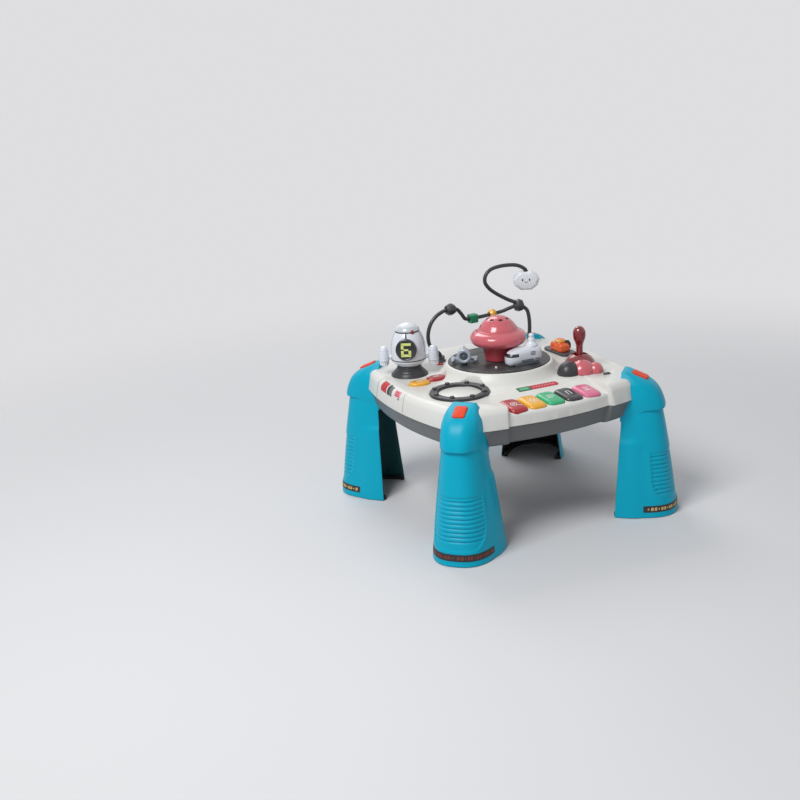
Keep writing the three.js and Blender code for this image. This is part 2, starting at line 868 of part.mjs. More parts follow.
function speakerCuts() {
  const pitch = 2 * speaker.magnetRadius / speakerSlots;
  const cuts = [];
  for (let slot = 0; slot < speakerSlots; slot += 1) {
    const offset = (slot - (speakerSlots - 1) / 2) * pitch;
    const length = 2 * Math.sqrt(speaker.magnetRadius ** 2 - offset ** 2);
    const bottom = underside - overrun;
    cuts.push(block(speaker.slotWidth, length, 2 * overrun, speaker.x + offset, speaker.y, bottom));
  }
  return cuts;
}

function boardBosses() {
  const floor = underside + table.wall;
  const boss = rod(board.bossRadius, floor, floor + board.bossHeight, 10);
  const places = [[-1, -1], [-1, 1], [1, -1], [1, 1]];
  return places.map(([signX, signY]) => boss.translate([
    board.x + signX * (board.length / 2 - board.bossRadius),
    board.y + signY * (board.width / 2 - board.bossRadius),
    0,
  ]));
}

function addBottomShell() {
  const floor = underside + table.wall;
  const body = loft([
    insetTable(table.undersideInset, underside),
    insetTable(table.undersideInset - table.undersideRound, underside + table.undersideRound),
    insetTable(table.draft, seam),
  ]);
  const tray = loft([
    insetTable(table.undersideInset + table.wall, floor),
    insetTable(table.draft + table.wall, seam + overrun),
  ]);
  const shaftBoss = rod(shaft.collarRadius, floor, floor + shaft.bossHeight, 20);
  const room = cutAll(tray, [...cornerBlocks(), ...boardBosses(), shaftBoss]);
  const recess = door.thickness + gap;
  const doorWidth = door.width - 2 * door.ledge;
  const solid = cutAll(body, [
    room,
    block(door.length, door.width, recess + overrun, door.x, door.y, underside - overrun),
    block(door.length - 2 * door.ledge, doorWidth, 2 * overrun, door.x, door.y, underside - overrun),
    ...cornerSlots(),
    ...speakerCuts(),
  ]);
  add('bottom_shell', solid, grey);
}

function addInnerPieces() {
  const floor = underside + table.wall;
  const doorLength = door.length - 2 * gap;
  const doorWidth = door.width - 2 * gap;
  add('battery_door', block(doorLength, doorWidth, door.thickness, door.x, door.y, underside), grey);
  const low = floor + gap;
  const boardFoot = low + board.bossHeight;
  const plate = block(board.length, board.width, board.thickness, board.x, board.y, boardFoot);
  add('circuit_board', plate, boardGreen);
  const magnetFoot = low + speaker.height - 2 * speaker.flange;
  add('speaker', revolve([
    [0, low],
    [speaker.radius, low],
    [speaker.radius, low + speaker.flange],
    [speaker.magnetRadius, magnetFoot],
    [speaker.magnetRadius, low + speaker.height],
    [0, low + speaker.height],
  ], 20).translate([speaker.x, speaker.y, 0]), black);
}

// Turntable: a disc on its shaft, with a streamlined shuttle and a small plane

function shuttleSolid() {
  const rings = shuttleLengthShares.map((share, index) => {
    const half = shuttle.halfWidth * shuttleWidthShares[index];
    const height = shuttle.height * shuttleHeightShares[index];
    const corner = Math.min(half, height / 2) * shuttleCornerShare;
    const outline = rounded(2 * half, height, corner, 3);
    return outline.map(([y, z]) => new THREE.Vector3(-(z + height / 2), y, share * shuttle.length));
  });
  return loft(rings).rotate([0, 90, 0]);
}

function addShuttle() {
  const holder = new THREE.Group();
  holder.position.set(shuttle.noseX, shuttle.y, discTop + gap);
  root.add(holder);
  const body = shuttleSolid();
  const visorZone = (grow) => block(
    2 * (shuttle.visorLength + grow),
    4 * shuttle.halfWidth,
    shuttle.visorHeight + 2 * grow,
    0,
    0,
    shuttle.visorRise - grow,
  );
  add('shuttle_body', body.subtract(visorZone(gap)), paleGrey, holder);
  add('shuttle_visor', body.intersect(visorZone(0)), black, holder);
  const mastFoot = shuttle.height + gap;
  const mastTop = mastFoot + shuttle.mastHeight;
  const mast = rod(shuttle.mastRadius, mastFoot, mastTop, 10)
    .add(ball(shuttle.mastBall, 10).translate([0, 0, mastTop]));
  add('shuttle_mast', mast.translate([shuttle.mastBack, 0, 0]), silver, holder);
}

// The plane's x runs forwards, through the ring engine at its front
function addPlane() {
  const holder = new THREE.Group();
  holder.position.set(plane.x, plane.y, discTop + gap);
  holder.rotation.z = plane.headingAngle * degree - quarterTurn;
  root.add(holder);
  const front = plane.length / 2;
  const ringBack = front - plane.ringWidth;
  const lay = (solid) => solid.rotate([0, 90, 0]).translate([0, 0, plane.axisRise]);
  const hull = lay(revolve([
    [0, -front],
    [plane.bodyRadius / 2, -front],
    [plane.bodyRadius, -front + plane.bodyRadius],
    [plane.bodyRadius, ringBack - gap],
    [plane.ringBore - gap, ringBack - gap],
    [plane.ringBore - gap, front - plane.ringBevel],
    [0, front],
  ], 16));
  const wing = block(
    plane.wingLength,
    2 * plane.podSpread,
    plane.wingThickness,
    -plane.wingLength / 2,
    0,
    plane.podRise - plane.wingThickness / 2,
  );
  const fin = block(
    plane.finLength,
    plane.wingThickness,
    plane.finHeight,
    -front + plane.finLength,
    0,
    plane.axisRise,
  );
  const stand = block(plane.finLength, plane.finLength, plane.axisRise, 0, 0, 0);
  const pod = revolve([
    [0, -plane.podLength / 2],
    [plane.podRadius / 2, -plane.podLength / 2],
    [plane.podRadius, -plane.podLength / 4],
    [plane.podRadius, plane.podLength / 4],
    [0, plane.podLength / 2],
  ], 8).rotate([0, 90, 0]);
  const body = [-1, 1].reduce(
    (rest, side) => rest.add(pod.translate([0, side * plane.podSpread, plane.podRise])),
    hull.add(wing).add(fin).add(stand),
  );
  const ringShape = revolve(
    ringProfile(plane.ringBore, plane.ringRadius, ringBack, front, plane.ringBevel),
    22,
  );
  add('plane_body', body, silver, holder);
  add('plane_engine', lay(ringShape), silver, holder);
}

function addTurntable() {
  const bore = shaft.radius + gap;
  add('turntable_disc', revolve([
    [bore, discTop - disc.thickness],
    [disc.radius, discTop - disc.thickness],
    [disc.radius, discTop - disc.bevel],
    [disc.radius - disc.bevel, discTop],
    [bore, discTop],
    [bore, discTop - disc.thickness],
  ], 40), black);
  const shaftFoot = underside + table.wall + shaft.bossHeight + gap;
  add('turntable_spindle', revolve([
    [0, shaftFoot],
    [shaft.collarRadius, shaftFoot],
    [shaft.collarRadius, shaftFoot + shaft.collarHeight],
    [shaft.radius, shaftFoot + shaft.collarHeight],
    [shaft.radius, discTop + shaft.rise],
    [0, discTop + shaft.rise],
  ], 20), steel);
  addShuttle();
  addPlane();
}

// Saucer: a tapered foot over the shaft, a wide rim and a holed dome

function addSaucer() {
  const low = discTop + gap;
  const bore = shaft.radius + gap;
  const pocket = discTop + shaft.rise + gap;
  const waist = discTop + saucer.waistRise;
  add('saucer_base', revolve([
    [bore, low],
    [saucer.footRadius, low],
    [saucer.waistRadius, waist],
    [0, waist],
    [0, pocket],
    [bore, pocket],
    [bore, low],
  ], 28), deepPink);
  const rimMiddle = discTop + saucer.rimRise;
  const neck = discTop + saucer.neckRise;
  const half = saucer.rimHalf;
  add('saucer_rim', revolve([
    [0, waist + gap],
    [saucer.waistRadius + half, waist + gap],
    [saucer.rimRadius - half, rimMiddle - half * 1.5],
    [saucer.rimRadius - half / 3, rimMiddle - half / 1.5],
    [saucer.rimRadius, rimMiddle],
    [saucer.rimRadius - half / 3, rimMiddle + half / 1.5],
    [saucer.rimRadius - half, rimMiddle + half * 1.5],
    [saucer.neckRadius + half, (rimMiddle + half + neck) / 2],
    [saucer.neckRadius, neck - gap],
    [0, neck - gap],
  ], 30), pink);
  const capFoot = discTop + saucer.capRise;
  const capHeight = saucer.topRise - saucer.capRise;
  const crown = saucerArchShares.map((share) => [
    saucer.capRadius * Math.cos(share * quarterTurn),
    capFoot + capHeight * Math.sin(share * quarterTurn),
  ]);
  const domeBody = revolve([
    [0, neck],
    [saucer.neckRadius, neck],
    [(saucer.neckRadius + saucer.capRadius) / 2, (neck + capFoot + half / 2) / 2],
    [saucer.capRadius, capFoot],
    ...crown,
    [0, capFoot + capHeight],
  ], 24);
  const outline = ellipse(saucer.holeHalfWidth, saucer.holeHalfLength, 0, 8);
  const pit = prism(outline, capFoot + capHeight / 2, capFoot + capHeight + overrun)
    .translate([saucer.holeRing, 0, 0]);
  const pits = [];
  for (let hole = 0; hole < saucerHoles; hole += 1) {
    pits.push(pit.rotate([0, 0, (hole / saucerHoles) * (fullTurn / degree)]));
  }
  add('saucer_dome', cutAll(domeBody, pits), pink);
}

// Rocket: it turns as one piece above its folded foot

function rocketRadiusAt(share) {
  return rocket.bodyRadius - (rocket.bodyRadius - rocket.shoulderRadius) * share ** 2;
}

function rocketFootSolid() {
  const low = table.deck + gap;
  const top = table.deck + rocket.seatRise - gap;
  const foldSpan = top - low - rocket.flangeHeight;
  const profile = [[0, low], [rocket.flangeRadius, low], [rocket.flangeRadius, low + rocket.flangeHeight]];
  for (let fold = 0; fold < rocketFolds; fold += 1) {
    const share = (fold + 0.5) / rocketFolds;
    const radius = rocket.footRadius - (rocket.footRadius - rocket.neckRadius) * share;
    const height = low + rocket.flangeHeight + foldSpan * share;
    profile.push([radius - rocket.foldDepth, height - foldSpan / rocketFolds / 3], [radius, height]);
  }
  profile.push([rocket.neckRadius, top], [0, top]);
  return revolve(profile, 24);
}

function rocketDisplay(grow) {
  const front = rocket.bodyRadius + rocket.displayProud;
  const thickness = rocket.displayDepth + rocket.displayProud;
  return rod(rocket.displayRadius + grow, front - thickness - grow, front + grow, 24)
    .rotate([90, 0, 0])
    .translate([0, 0, table.deck + rocket.displayRise]);
}

function rocketBooster(grow, side) {
  const bottom = table.deck + rocket.boosterRise;
  const top = bottom + rocket.boosterHeight;
  const radius = rocket.boosterRadius + grow;
  const skirt = rocket.boosterSkirt;
  return revolve([
    [0, bottom - grow],
    [radius, bottom - grow],
    [radius - skirt / 2, bottom + skirt],
    [radius, bottom + 2 * skirt],
    [radius, top - 2 * skirt],
    [radius - skirt, top - skirt],
    [0, top + grow],
  ], 14).translate([side * rocket.boosterOffset, 0, 0]);
}

function rocketBodySolid() {
  const seat = table.deck + rocket.seatRise;
  const low = table.deck + rocket.bodyLowRise;
  const high = table.deck + rocket.bodyHighRise;
  const shoulder = table.deck + rocket.shoulderRise - gap;
  const upper = rocketBodyShares.map((share) => [rocketRadiusAt(share), high + (shoulder - high) * share]);
  const body = revolve([
    [0, seat],
    [rocket.seatRadius, seat],
    [rocket.bodyRadius - rocket.foldDepth, (seat + low) / 2],
    [rocket.bodyRadius, low],
    [rocket.bodyRadius, high],
    ...upper,
    [0, shoulder],
  ], 30);
  const strut = rod(rocket.strutRadius, -rocket.boosterOffset, rocket.boosterOffset, 8)
    .rotate([0, 90, 0])
    .translate([0, 0, table.deck + rocket.strutRise]);
  return cutAll(body.add(strut), [rocketDisplay(gap), rocketBooster(gap, -1), rocketBooster(gap, 1)]);
}

function addRocket() {
  const holder = new THREE.Group();
  holder.position.set(rocket.x, rocket.y, 0);
  holder.rotation.z = rocket.facingAngle * degree;
  root.add(holder);
  add('rocket_base', rocketFootSolid(), black, holder);
  add('rocket_body', rocketBodySolid(), paleGrey, holder);
  add('rocket_display', rocketDisplay(0), black, holder);
  add('rocket_booster_left', rocketBooster(0, -1), paleGrey, holder);
  add('rocket_booster_right', rocketBooster(0, 1), paleGrey, holder);
  const shoulder = table.deck + rocket.shoulderRise;
  const noseHeight = rocket.topRise - rocket.shoulderRise;
  const crown = noseInShares.map((inShare, index) => [
    rocket.shoulderRadius * inShare,
    shoulder + noseHeight * noseUpShares[index],
  ]);
  const nose = [[0, shoulder], [rocket.shoulderRadius, shoulder], ...crown, [0, shoulder + noseHeight]];
  add('rocket_nose', revolve(nose, 24), paleGrey, holder);
}

// Lever corner: the ball of the lever sits in the guard; base and dome are cut where they meet it

function addLever() {
  const low = table.deck + gap;
  const pivot = table.deck + lever.pivotRise;
  const guard = (grow) => dome(leverGuard, grow, low, 20).translate([lever.x, lever.y, 0]);
  const blackDome = (grow) => dome(leverDome, grow, low, 20).translate([leverDome.x, leverDome.y, 0]);
  const hill = moundSolid(gap, table.deck - overrun, 40);
  const socket = ball(lever.ballRadius + lever.ballClearance, 12).translate([lever.x, lever.y, pivot]);
  const slotWidth = 2 * (lever.ballRadius + lever.ballClearance);
  const slot = block(2 * leverSlotHalf, slotWidth, leverGuard.height, lever.x, lever.y, pivot);
  add('lever_guard', cutAll(guard(0), [socket, slot, hill]), crimson);
  const base = dome(leverBase, 0, low, 16).translate([leverBase.x, leverBase.y, 0])
    .add(dome(leverLobe, 0, low, 16).translate([leverLobe.x, leverLobe.y, 0]));
  add('lever_base', cutAll(base, [guard(gap), blackDome(gap)]), pink);
  add('lever_dome', cutAll(blackDome(0), [guard(gap), hill]), black);
  const knob = ball(leverKnob.radius, 12)
    .scale([1, 1, leverKnob.halfHeight / leverKnob.radius])
    .translate([0, 0, leverKnob.rise]);
  const stick = rod(lever.stickRadius, 0, leverKnob.rise, 12).add(ball(lever.ballRadius, 12)).add(knob);
  add('lever_stick', stick.translate([lever.x, lever.y, pivot]), crimson);
}

// Toy car with a runner in the track's slot, and the power switch

function addCar() {
  const holder = new THREE.Group();
  holder.position.set(track.x, track.y, table.deck + gap);
  root.add(holder);
  const plate = prism(rounded(track.width, track.length, track.width / 3, 4), 0, track.height);
  const slotFloor = track.height - trackSlot.depth;
  const slot = block(trackSlot.width, trackSlot.length, track.height, 0, 0, slotFloor);
  add('slider_track', plate.subtract(slot), black, holder);
  const low = track.height + gap;
  const top = low + car.height;
  const chassis = rounded(car.width, car.length, car.corner, 3);
  const cabin = rounded(carCabin.width, carCabin.length, carCabin.corner, 3);
  const body = loft([
    ringAt(chassis, low),
    ringAt(chassis, top - car.height / 4),
    ringAt(scaled(chassis, bonnetShare), top),
  ]);
  const cab = loft([ringAt(cabin, top - gap), ringAt(scaled(cabin, roofShare), top + carCabin.height)]);
  const runnerWidth = trackSlot.width - 2 * gap;
  const runner = block(runnerWidth, car.runnerLength, car.runnerHeight, 0, 0, slotFloor + gap);
  const wheelSide = car.width / 2 - carWheel.width + 2 * gap;
  const wheelMiddle = low + carWheel.radius + carWheel.clearance;
  const wheel = (grow) => rod(carWheel.radius + grow, -grow, carWheel.width + grow, 18)
    .rotate([0, 90, 0])
    .translate([wheelSide, -carWheel.back, wheelMiddle]);
  add('slider_car', body.add(cab).add(runner).subtract(wheel(gap)), orange, holder);
  add('slider_wheel', wheel(0), black, holder);
}

function addPowerSwitch() {
  const outline = rounded(2 * power.halfLength, 2 * power.halfWidth, power.corner, 3);
  const knob = prism(outline, table.deck - power.depth, table.deck + power.rise);
  add('power_switch', knob.translate([powerPlace - power.travel / 2, -powerPlace, 0]), black);
}

// Bead arch: two tubes and a swan neck that meet in a faceted connector

function archPoint([alongShare, leanShare, riseShare]) {
  return new THREE.Vector3(
    arch.middleX + arch.halfSpan * alongShare,
    arch.y - arch.lean * leanShare,
    table.deck + arch.rise * riseShare,
  );
}

function archCurve(shares) {
  return new THREE.CatmullRomCurve3(shares.map(archPoint), false, 'centripetal');
}

function tubeAlong(shares, steps) {
  const section = new THREE.Shape();
  section.absarc(0, 0, tube.radius, 0, fullTurn, false);
  const extrudePath = archCurve(shares);
  const options = { steps, curveSegments: tubeHalfSteps, extrudePath, bevelEnabled: false };
  return solidOf(new THREE.ExtrudeGeometry(section, options));
}

// Moves a solid whose own z runs outwards to a place and a direction
function aim(solid, place, direction) {
  const turn = new THREE.Quaternion().setFromUnitVectors(new THREE.Vector3(0, 0, 1), direction);
  const matrix = new THREE.Matrix4().compose(place, turn, new THREE.Vector3(1, 1, 1));
  return solid.transform(matrix.elements);
}

function archCollar(shares) {
  const start = archPoint(shares[0]);
  const low = table.deck + gap;
  const top = low + collar.height;
  const body = revolve([
    [0, low],
    [collar.radius + collar.flange, low],
    [collar.radius, low + collar.flange],
    [collar.radius, top],
    [0, top],
  ], 16);
  const bore = rod(tube.radius + tube.clearance, start.z - gap, top + overrun, 12);
  return body.subtract(bore).translate([start.x, start.y, 0]);
}

// A blind hole in the connector or the charm for the end of a tube
function tubePit(shares, atStart, length) {
  const curve = archCurve(shares);
  const end = curve.getPoint(atStart ? 0 : 1);
  const outward = curve.getTangent(atStart ? 0 : 1).multiplyScalar(atStart ? 1 : -1);
  return aim(rod(tube.radius + tube.clearance, -gap, length, 12), end, outward);
}

function addArch() {
  add('arch_left_tube', tubeAlong(leftTubeShares, leftTubeSteps), black);
  add('arch_right_tube', tubeAlong(rightTubeShares, rightTubeSteps), black);
  add('arch_swan_tube', tubeAlong(swanTubeShares, swanTubeSteps), black);
  add('arch_left_socket', archCollar(leftTubeShares), black);
  add('arch_right_socket', archCollar(rightTubeShares), black);
  const lump = new THREE.SphereGeometry(connectorRadius, connectorFacets, connectorFacets - 2);
  const reach = 2 * connectorRadius;
  const centre = archPoint(connectorShares);
  add('arch_connector', cutAll(solidOf(lump.rotateX(quarterTurn)).translate(centre.toArray()), [
    tubePit(leftTubeShares, false, reach),
    tubePit(rightTubeShares, false, reach),
    tubePit(swanTubeShares, true, reach),
  ]), black);
}

// Beads with round bores; each stands square to the tube at its place

function beadSolid(outline, length, endShare, share) {
  const half = length / 2;
  const body = loft([
    ringAt(scaled(outline, endShare), -half),
    ringAt(outline, -half / 4),
    ringAt(outline, half / 4),
    ringAt(scaled(outline, endShare), half),
  ]);
  const bore = rod(tube.radius + beadClearance, -length, length, 12);
  const curve = archCurve(leftTubeShares);
  return aim(body.subtract(bore), curve.getPointAt(share), curve.getTangentAt(share));
}

function addBeads() {
  const faceted = ellipse(blackBead.radius, blackBead.radius, 0, 8);
  add('bead_black', beadSolid(faceted, blackBead.length, beadEndShare, blackBeadShare), black);
  const square = rounded(greenBead.side, greenBead.side, greenBead.corner, 1);
  add('bead_green', beadSolid(square, greenBead.length, 1, greenBeadShare), green);
  const round = ellipse(yellowBead.radius, yellowBead.radius, 0, 12);
  add('bead_yellow', beadSolid(round, yellowBead.length, beadEndShare, yellowBeadShare), yellow);
}

// A faceted cloud that turns on the end of the swan neck
function addCharm() {
  const end = archPoint(swanTubeShares[swanTubeShares.length - 1]);
  const outline = scaled(charmOutlineShares, charm.halfWidth, charm.halfHeight);
  const face = scaled(outline, charmFaceShare);
  const half = charm.depth / 2;
  const body = loft([
    ringAt(face, -half),
    ringAt(outline, -half * charmWaistShare),
    ringAt(outline, half * charmWaistShare),
    ringAt(face, half),
  ]).rotate([90, 0, charm.turnAngle]);
  const middle = end.z + charm.boreDepth - charm.halfHeight;
  const pit = rod(tube.radius + charm.clearance, end.z - gap, end.z + 2 * charm.boreDepth, 12)
    .translate([end.x, end.y, 0]);
  add('cloud_charm', body.translate([end.x, end.y, middle]).subtract(pit), white);
}

addTopShell();
addBottomShell();
addInnerPieces();
addLegs();
addKeys();
addButtons();
addRing();
addTurntable();
addSaucer();
addRocket();
addLever();
addCar();
addPowerSwitch();
addArch();
addBeads();
addCharm();

export default root;
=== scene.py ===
import math
import bpy
import bmesh
from mathutils import Matrix, Vector


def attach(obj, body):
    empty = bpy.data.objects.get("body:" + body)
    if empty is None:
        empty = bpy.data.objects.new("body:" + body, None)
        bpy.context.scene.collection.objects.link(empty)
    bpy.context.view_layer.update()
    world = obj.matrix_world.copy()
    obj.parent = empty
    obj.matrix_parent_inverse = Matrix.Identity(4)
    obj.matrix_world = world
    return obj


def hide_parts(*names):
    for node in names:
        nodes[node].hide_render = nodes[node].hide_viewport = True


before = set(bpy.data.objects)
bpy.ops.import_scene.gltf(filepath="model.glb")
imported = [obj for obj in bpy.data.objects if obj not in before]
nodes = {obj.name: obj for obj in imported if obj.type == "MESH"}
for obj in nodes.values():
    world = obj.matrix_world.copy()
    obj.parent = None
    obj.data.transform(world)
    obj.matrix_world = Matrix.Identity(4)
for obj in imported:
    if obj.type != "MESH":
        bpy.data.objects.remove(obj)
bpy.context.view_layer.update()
mm = 0.001
print("frame loaded with", len(nodes), "nodes")


# node trees: a flow is a socket that can be reckoned with like a number

class Flow:
    def __init__(self, tree, socket):
        self.tree, self.socket = tree, socket

    def __add__(self, other):
        return calc("ADD", self, other)

    def __sub__(self, other):
        return calc("SUBTRACT", self, other)

    def __rsub__(self, other):
        return calc("SUBTRACT", other, self)

    def __mul__(self, other):
        return calc("MULTIPLY", self, other)

    def __truediv__(self, other):
        return calc("DIVIDE", self, other)

    def __pow__(self, other):
        return calc("POWER", self, other)


def feed(tree, socket, value):
    if isinstance(value, Flow):
        tree.links.new(value.socket, socket)
    else:
        socket.default_value = value


def addNode(tree, kind, inputs=None, out=0, **settings):
    node = tree.nodes.new(kind)
    for name, value in settings.items():
        setattr(node, name, value)
    for name, value in (inputs or {}).items():
        feed(tree, node.inputs[name], value)
    if out is None:
        return {socket.name: Flow(tree, socket) for socket in node.outputs}
    return Flow(tree, node.outputs[out])


def calc(operation, *values, clamp=False):
    tree = next(value.tree for value in values if isinstance(value, Flow))
    return addNode(tree, "ShaderNodeMath", dict(enumerate(values)), operation=operation, use_clamp=clamp)


def fadeIn(value, low, high):
    return addNode(value.tree, "ShaderNodeMapRange", {"Value": value, "From Min": low, "From Max": high},
                   interpolation_type="SMOOTHSTEP")


def noiseOn(tree, scale, detail):
    spot = addNode(tree, "ShaderNodeTexCoord", out="Object")
    return addNode(tree, "ShaderNodeTexNoise", {"Vector": spot, "Scale": scale, "Detail": detail}, "Fac")


def mixColours(factor, first, second, blend="MIX"):
    return addNode(first.tree, "ShaderNodeMix", {0: factor, 6: first, 7: second}, 2, data_type="RGBA",
                   blend_type=blend)


def addSocket(tree, direction, label, value):  # value is a default, or the name of a kind
    kind = value if isinstance(value, str) else {int: "Int", float: "Float", tuple: "Color"}[type(value)]
    socket = tree.interface.new_socket(name=label, in_out=direction, socket_type="NodeSocket" + kind)
    if kind != value:
        socket.default_value = value


def startGroup(name, inputs, outputs, kind="ShaderNodeTree"):
    group = bpy.data.node_groups.new(name, kind)
    for direction, sockets in (("INPUT", inputs), ("OUTPUT", outputs)):
        for label, value in sockets.items():
            addSocket(group, direction, label, value)
    return group, addNode(group, "NodeGroupInput", out=None), group.nodes.new("NodeGroupOutput").inputs


# shader groups that several finishes share

def makeColourDrift():  # slow changes of tone across a moulding
    inputs = {"Colour": (1.0, 1.0, 1.0, 1.0), "Patch Scale": 9.0, "Drift": 0.06}
    group, given, result = startGroup("colourDrift", inputs, {"Colour": "Color"})
    tone = (noiseOn(group, given["Patch Scale"], 2.0) - 0.5) * given["Drift"] + 1.0
    grey = addNode(group, "ShaderNodeCombineColor", {"Red": tone, "Green": tone, "Blue": tone})
    feed(group, result["Colour"], mixColours(1.0, given["Colour"], grey, "MULTIPLY"))
    return group


def makeEdgeWear():  # rubbed corners, from the curvature of the mesh
    group, given, result = startGroup("edgeWear", {"Amount": 0.3, "Break Up": 120.0}, {"Mask": "Float"})
    edge = fadeIn(addNode(group, "ShaderNodeNewGeometry", out="Pointiness"), 0.515, 0.6)
    patchy = fadeIn(noiseOn(group, given["Break Up"], 4.0), 0.38, 0.66)
    feed(group, result["Mask"], calc("MULTIPLY", edge * patchy, given["Amount"], clamp=True))
    return group


def makeRestingDust():  # a thin veil where the surface looks up
    group, given, result = startGroup("restingDust", {"Amount": 0.1, "Patch Scale": 30.0}, {"Mask": "Float"})
    normal = addNode(group, "ShaderNodeNewGeometry", out="Normal")
    top = fadeIn(addNode(group, "ShaderNodeSeparateXYZ", {0: normal}, "Z"), 0.35, 1.0)
    patchy = fadeIn(noiseOn(group, given["Patch Scale"], 5.0), 0.35, 0.75)
    feed(group, result["Mask"], calc("MULTIPLY", top * patchy, given["Amount"], clamp=True))
    return group


def makeMouldGrain():  # height of a fine spark-eroded tool texture with a slow waviness
    group, given, result = startGroup(
        "mouldGrain", {"Grain Scale": 900.0, "Grain": 0.2, "Wave Scale": 22.0, "Wave": 0.3},
        {"Height": "Float", "Gloss Drift": "Float"})
    slow = noiseOn(group, given["Wave Scale"], 1.0)
    fine = noiseOn(group, given["Grain Scale"], 2.0)
    feed(group, result["Height"], fine * given["Grain"] + slow * given["Wave"])
    feed(group, result["Gloss Drift"], slow - 0.5)
    return group


colourDrift = makeColourDrift()
edgeWear = makeEdgeWear()
restingDust = makeRestingDust()
mouldGrain = makeMouldGrain()


def placeGroup(tree, group, inputs):
    return addNode(tree, "ShaderNodeGroup", inputs, None, node_tree=group)


def sRgb(red, green, blue):
    def linear(value):
        value /= 255
        return value / 12.92 if value <= 0.04045 else ((value + 0.055) / 1.055) ** 2.4
    return linear(red), linear(green), linear(blue), 1.0


def newMaterial(name, colour):
    material = bpy.data.materials.new(name)
    material.use_nodes = True
    material.diffuse_color = colour
    return material


finishes = {}
plasticLook = {
    "roughness": 0.34, "glossDrift": 0.12, "drift": 0.07, "patch": 9.0, "wear": 0.25, "breakUp": 120.0,
    "worn": (245, 245, 240), "dust": 0.06, "grain": 0.2, "grainScale": 900.0, "wave": 0.25, "waveScale": 22.0,
    "bump": 0.12, "specular": 0.5, "coat": 0.0, "metallic": 0.0,
}


def plastic(name, red, green, blue, **changes):
    look = {**plasticLook, **changes}
    colour = sRgb(red, green, blue)
    material = finishes[name] = newMaterial(name, colour)
    tree = material.node_tree
    drift = placeGroup(tree, colourDrift, {"Colour": colour, "Patch Scale": look["patch"],
                                           "Drift": look["drift"]})
    wear = placeGroup(tree, edgeWear, {"Amount": look["wear"], "Break Up": look["breakUp"]})
    dust = placeGroup(tree, restingDust, {"Amount": look["dust"], "Patch Scale": 30.0})
    grain = placeGroup(tree, mouldGrain, {"Grain Scale": look["grainScale"], "Grain": look["grain"],
                                          "Wave Scale": look["waveScale"], "Wave": look["wave"]})
    worn = mixColours(wear["Mask"], drift["Colour"], sRgb(*look["worn"]))
    gloss = grain["Gloss Drift"] * look["glossDrift"] + look["roughness"]
    inputs = {
        "Base Color": mixColours(dust["Mask"], worn, sRgb(214, 211, 203)),
        "Roughness": calc("ADD", gloss, dust["Mask"] * 0.5, clamp=True),
        "Normal": addNode(tree, "ShaderNodeBump", {"Strength": look["bump"], "Distance": 0.0006,
                                                   "Height": grain["Height"]}),
        "IOR": 1.47, "Specular IOR Level": look["specular"], "Coat Weight": look["coat"],
        "Coat Roughness": 0.08, "Metallic": look["metallic"],
    }
    for label, value in inputs.items():
        feed(tree, tree.nodes["Principled BSDF"].inputs[label], value)


plastic("deckWhite", 224, 224, 219, roughness=0.36, wear=0.1, dust=0.1, grain=0.25)
plastic("bellyGrey", 105, 106, 107, roughness=0.42, wear=0.2, grain=0.5, bump=0.2)
plastic("legBlue", 0, 169, 199, roughness=0.36, wear=0.02, wave=0.35, specular=0.2)
# painted shade: the dark teal and near-black inner finishes stand in for the shadow inside the hollow legs
plastic("legInside", 20, 78, 84, roughness=0.55, wear=0.0, grain=0.5)
plastic("legShade", 38, 40, 43, roughness=0.45, wear=0.0, grain=0.4)
plastic("latchOrange", 226, 60, 8, roughness=0.4, wear=0.04, specular=0.3)
plastic("playBlack", 50, 51, 54, roughness=0.36, wear=0.3, worn=(120, 120, 122))
plastic("discBlack", 42, 43, 46, roughness=0.4, wear=0.3, grain=0.6, dust=0.12, worn=(110, 110, 112))
plastic("tubeBlack", 58, 60, 62, roughness=0.3, wear=0.1, worn=(120, 120, 122))
plastic("footRubber", 34, 35, 37, roughness=0.75, wear=0.1, grain=0.9, bump=0.35, worn=(90, 90, 90))
plastic("rocketPearl", 222, 227, 236, roughness=0.24, wear=0.1, coat=0.4)
plastic("panelLine", 96, 103, 112, roughness=0.4, wear=0.0)
plastic("seamDark", 74, 82, 88, roughness=0.5, wear=0.0, specular=0.2)
plastic("windowGrey", 196, 204, 208, roughness=0.18, wear=0.05, coat=0.5)
plastic("charmWhite", 232, 236, 242, roughness=0.24, wear=0.05, coat=0.4)
plastic("beadGreen", 28, 132, 92, roughness=0.4, wear=0.05)
# painted shade inside the plane's intake
plastic("engineDark", 62, 74, 86, roughness=0.35, wear=0.1)
plastic("planeSilver", 172, 182, 194, roughness=0.28, wear=0.2, coat=0.3, metallic=0.15)
plastic("saucerPink", 206, 94, 104, roughness=0.2, wear=0.05, coat=0.6, drift=0.05)
plastic("saucerDeep", 200, 70, 82, roughness=0.22, wear=0.05, coat=0.5)
plastic("leverCrimson", 128, 8, 20, roughness=0.1, wear=0.05, coat=0.8, drift=0.2)
# painted shade for the saucer dome's holes
plastic("pitDark", 52, 20, 26, roughness=0.5, wear=0.0, dust=0.0)
plastic("leafGreen", 40, 176, 118, roughness=0.26, wear=0.12, coat=0.3)
plastic("keyBlack", 40, 41, 45, roughness=0.22, wear=0.15, coat=0.4)
plastic("keyPink", 222, 116, 150, roughness=0.26, wear=0.12, coat=0.4)
plastic("boardGreen", 28, 92, 54, roughness=0.4, wear=0.1, grain=0.6)
plastic("shaftSteel", 186, 188, 190, roughness=0.28, wear=0.1, metallic=1.0, grainScale=400.0)
paints = {"signalRed": (172, 22, 34), "sunYellow": (238, 172, 34), "carOrange": (232, 92, 22)}
for finishName, paint in paints.items():
    plastic(finishName, *paint, roughness=0.24, wear=0.12, coat=0.4)
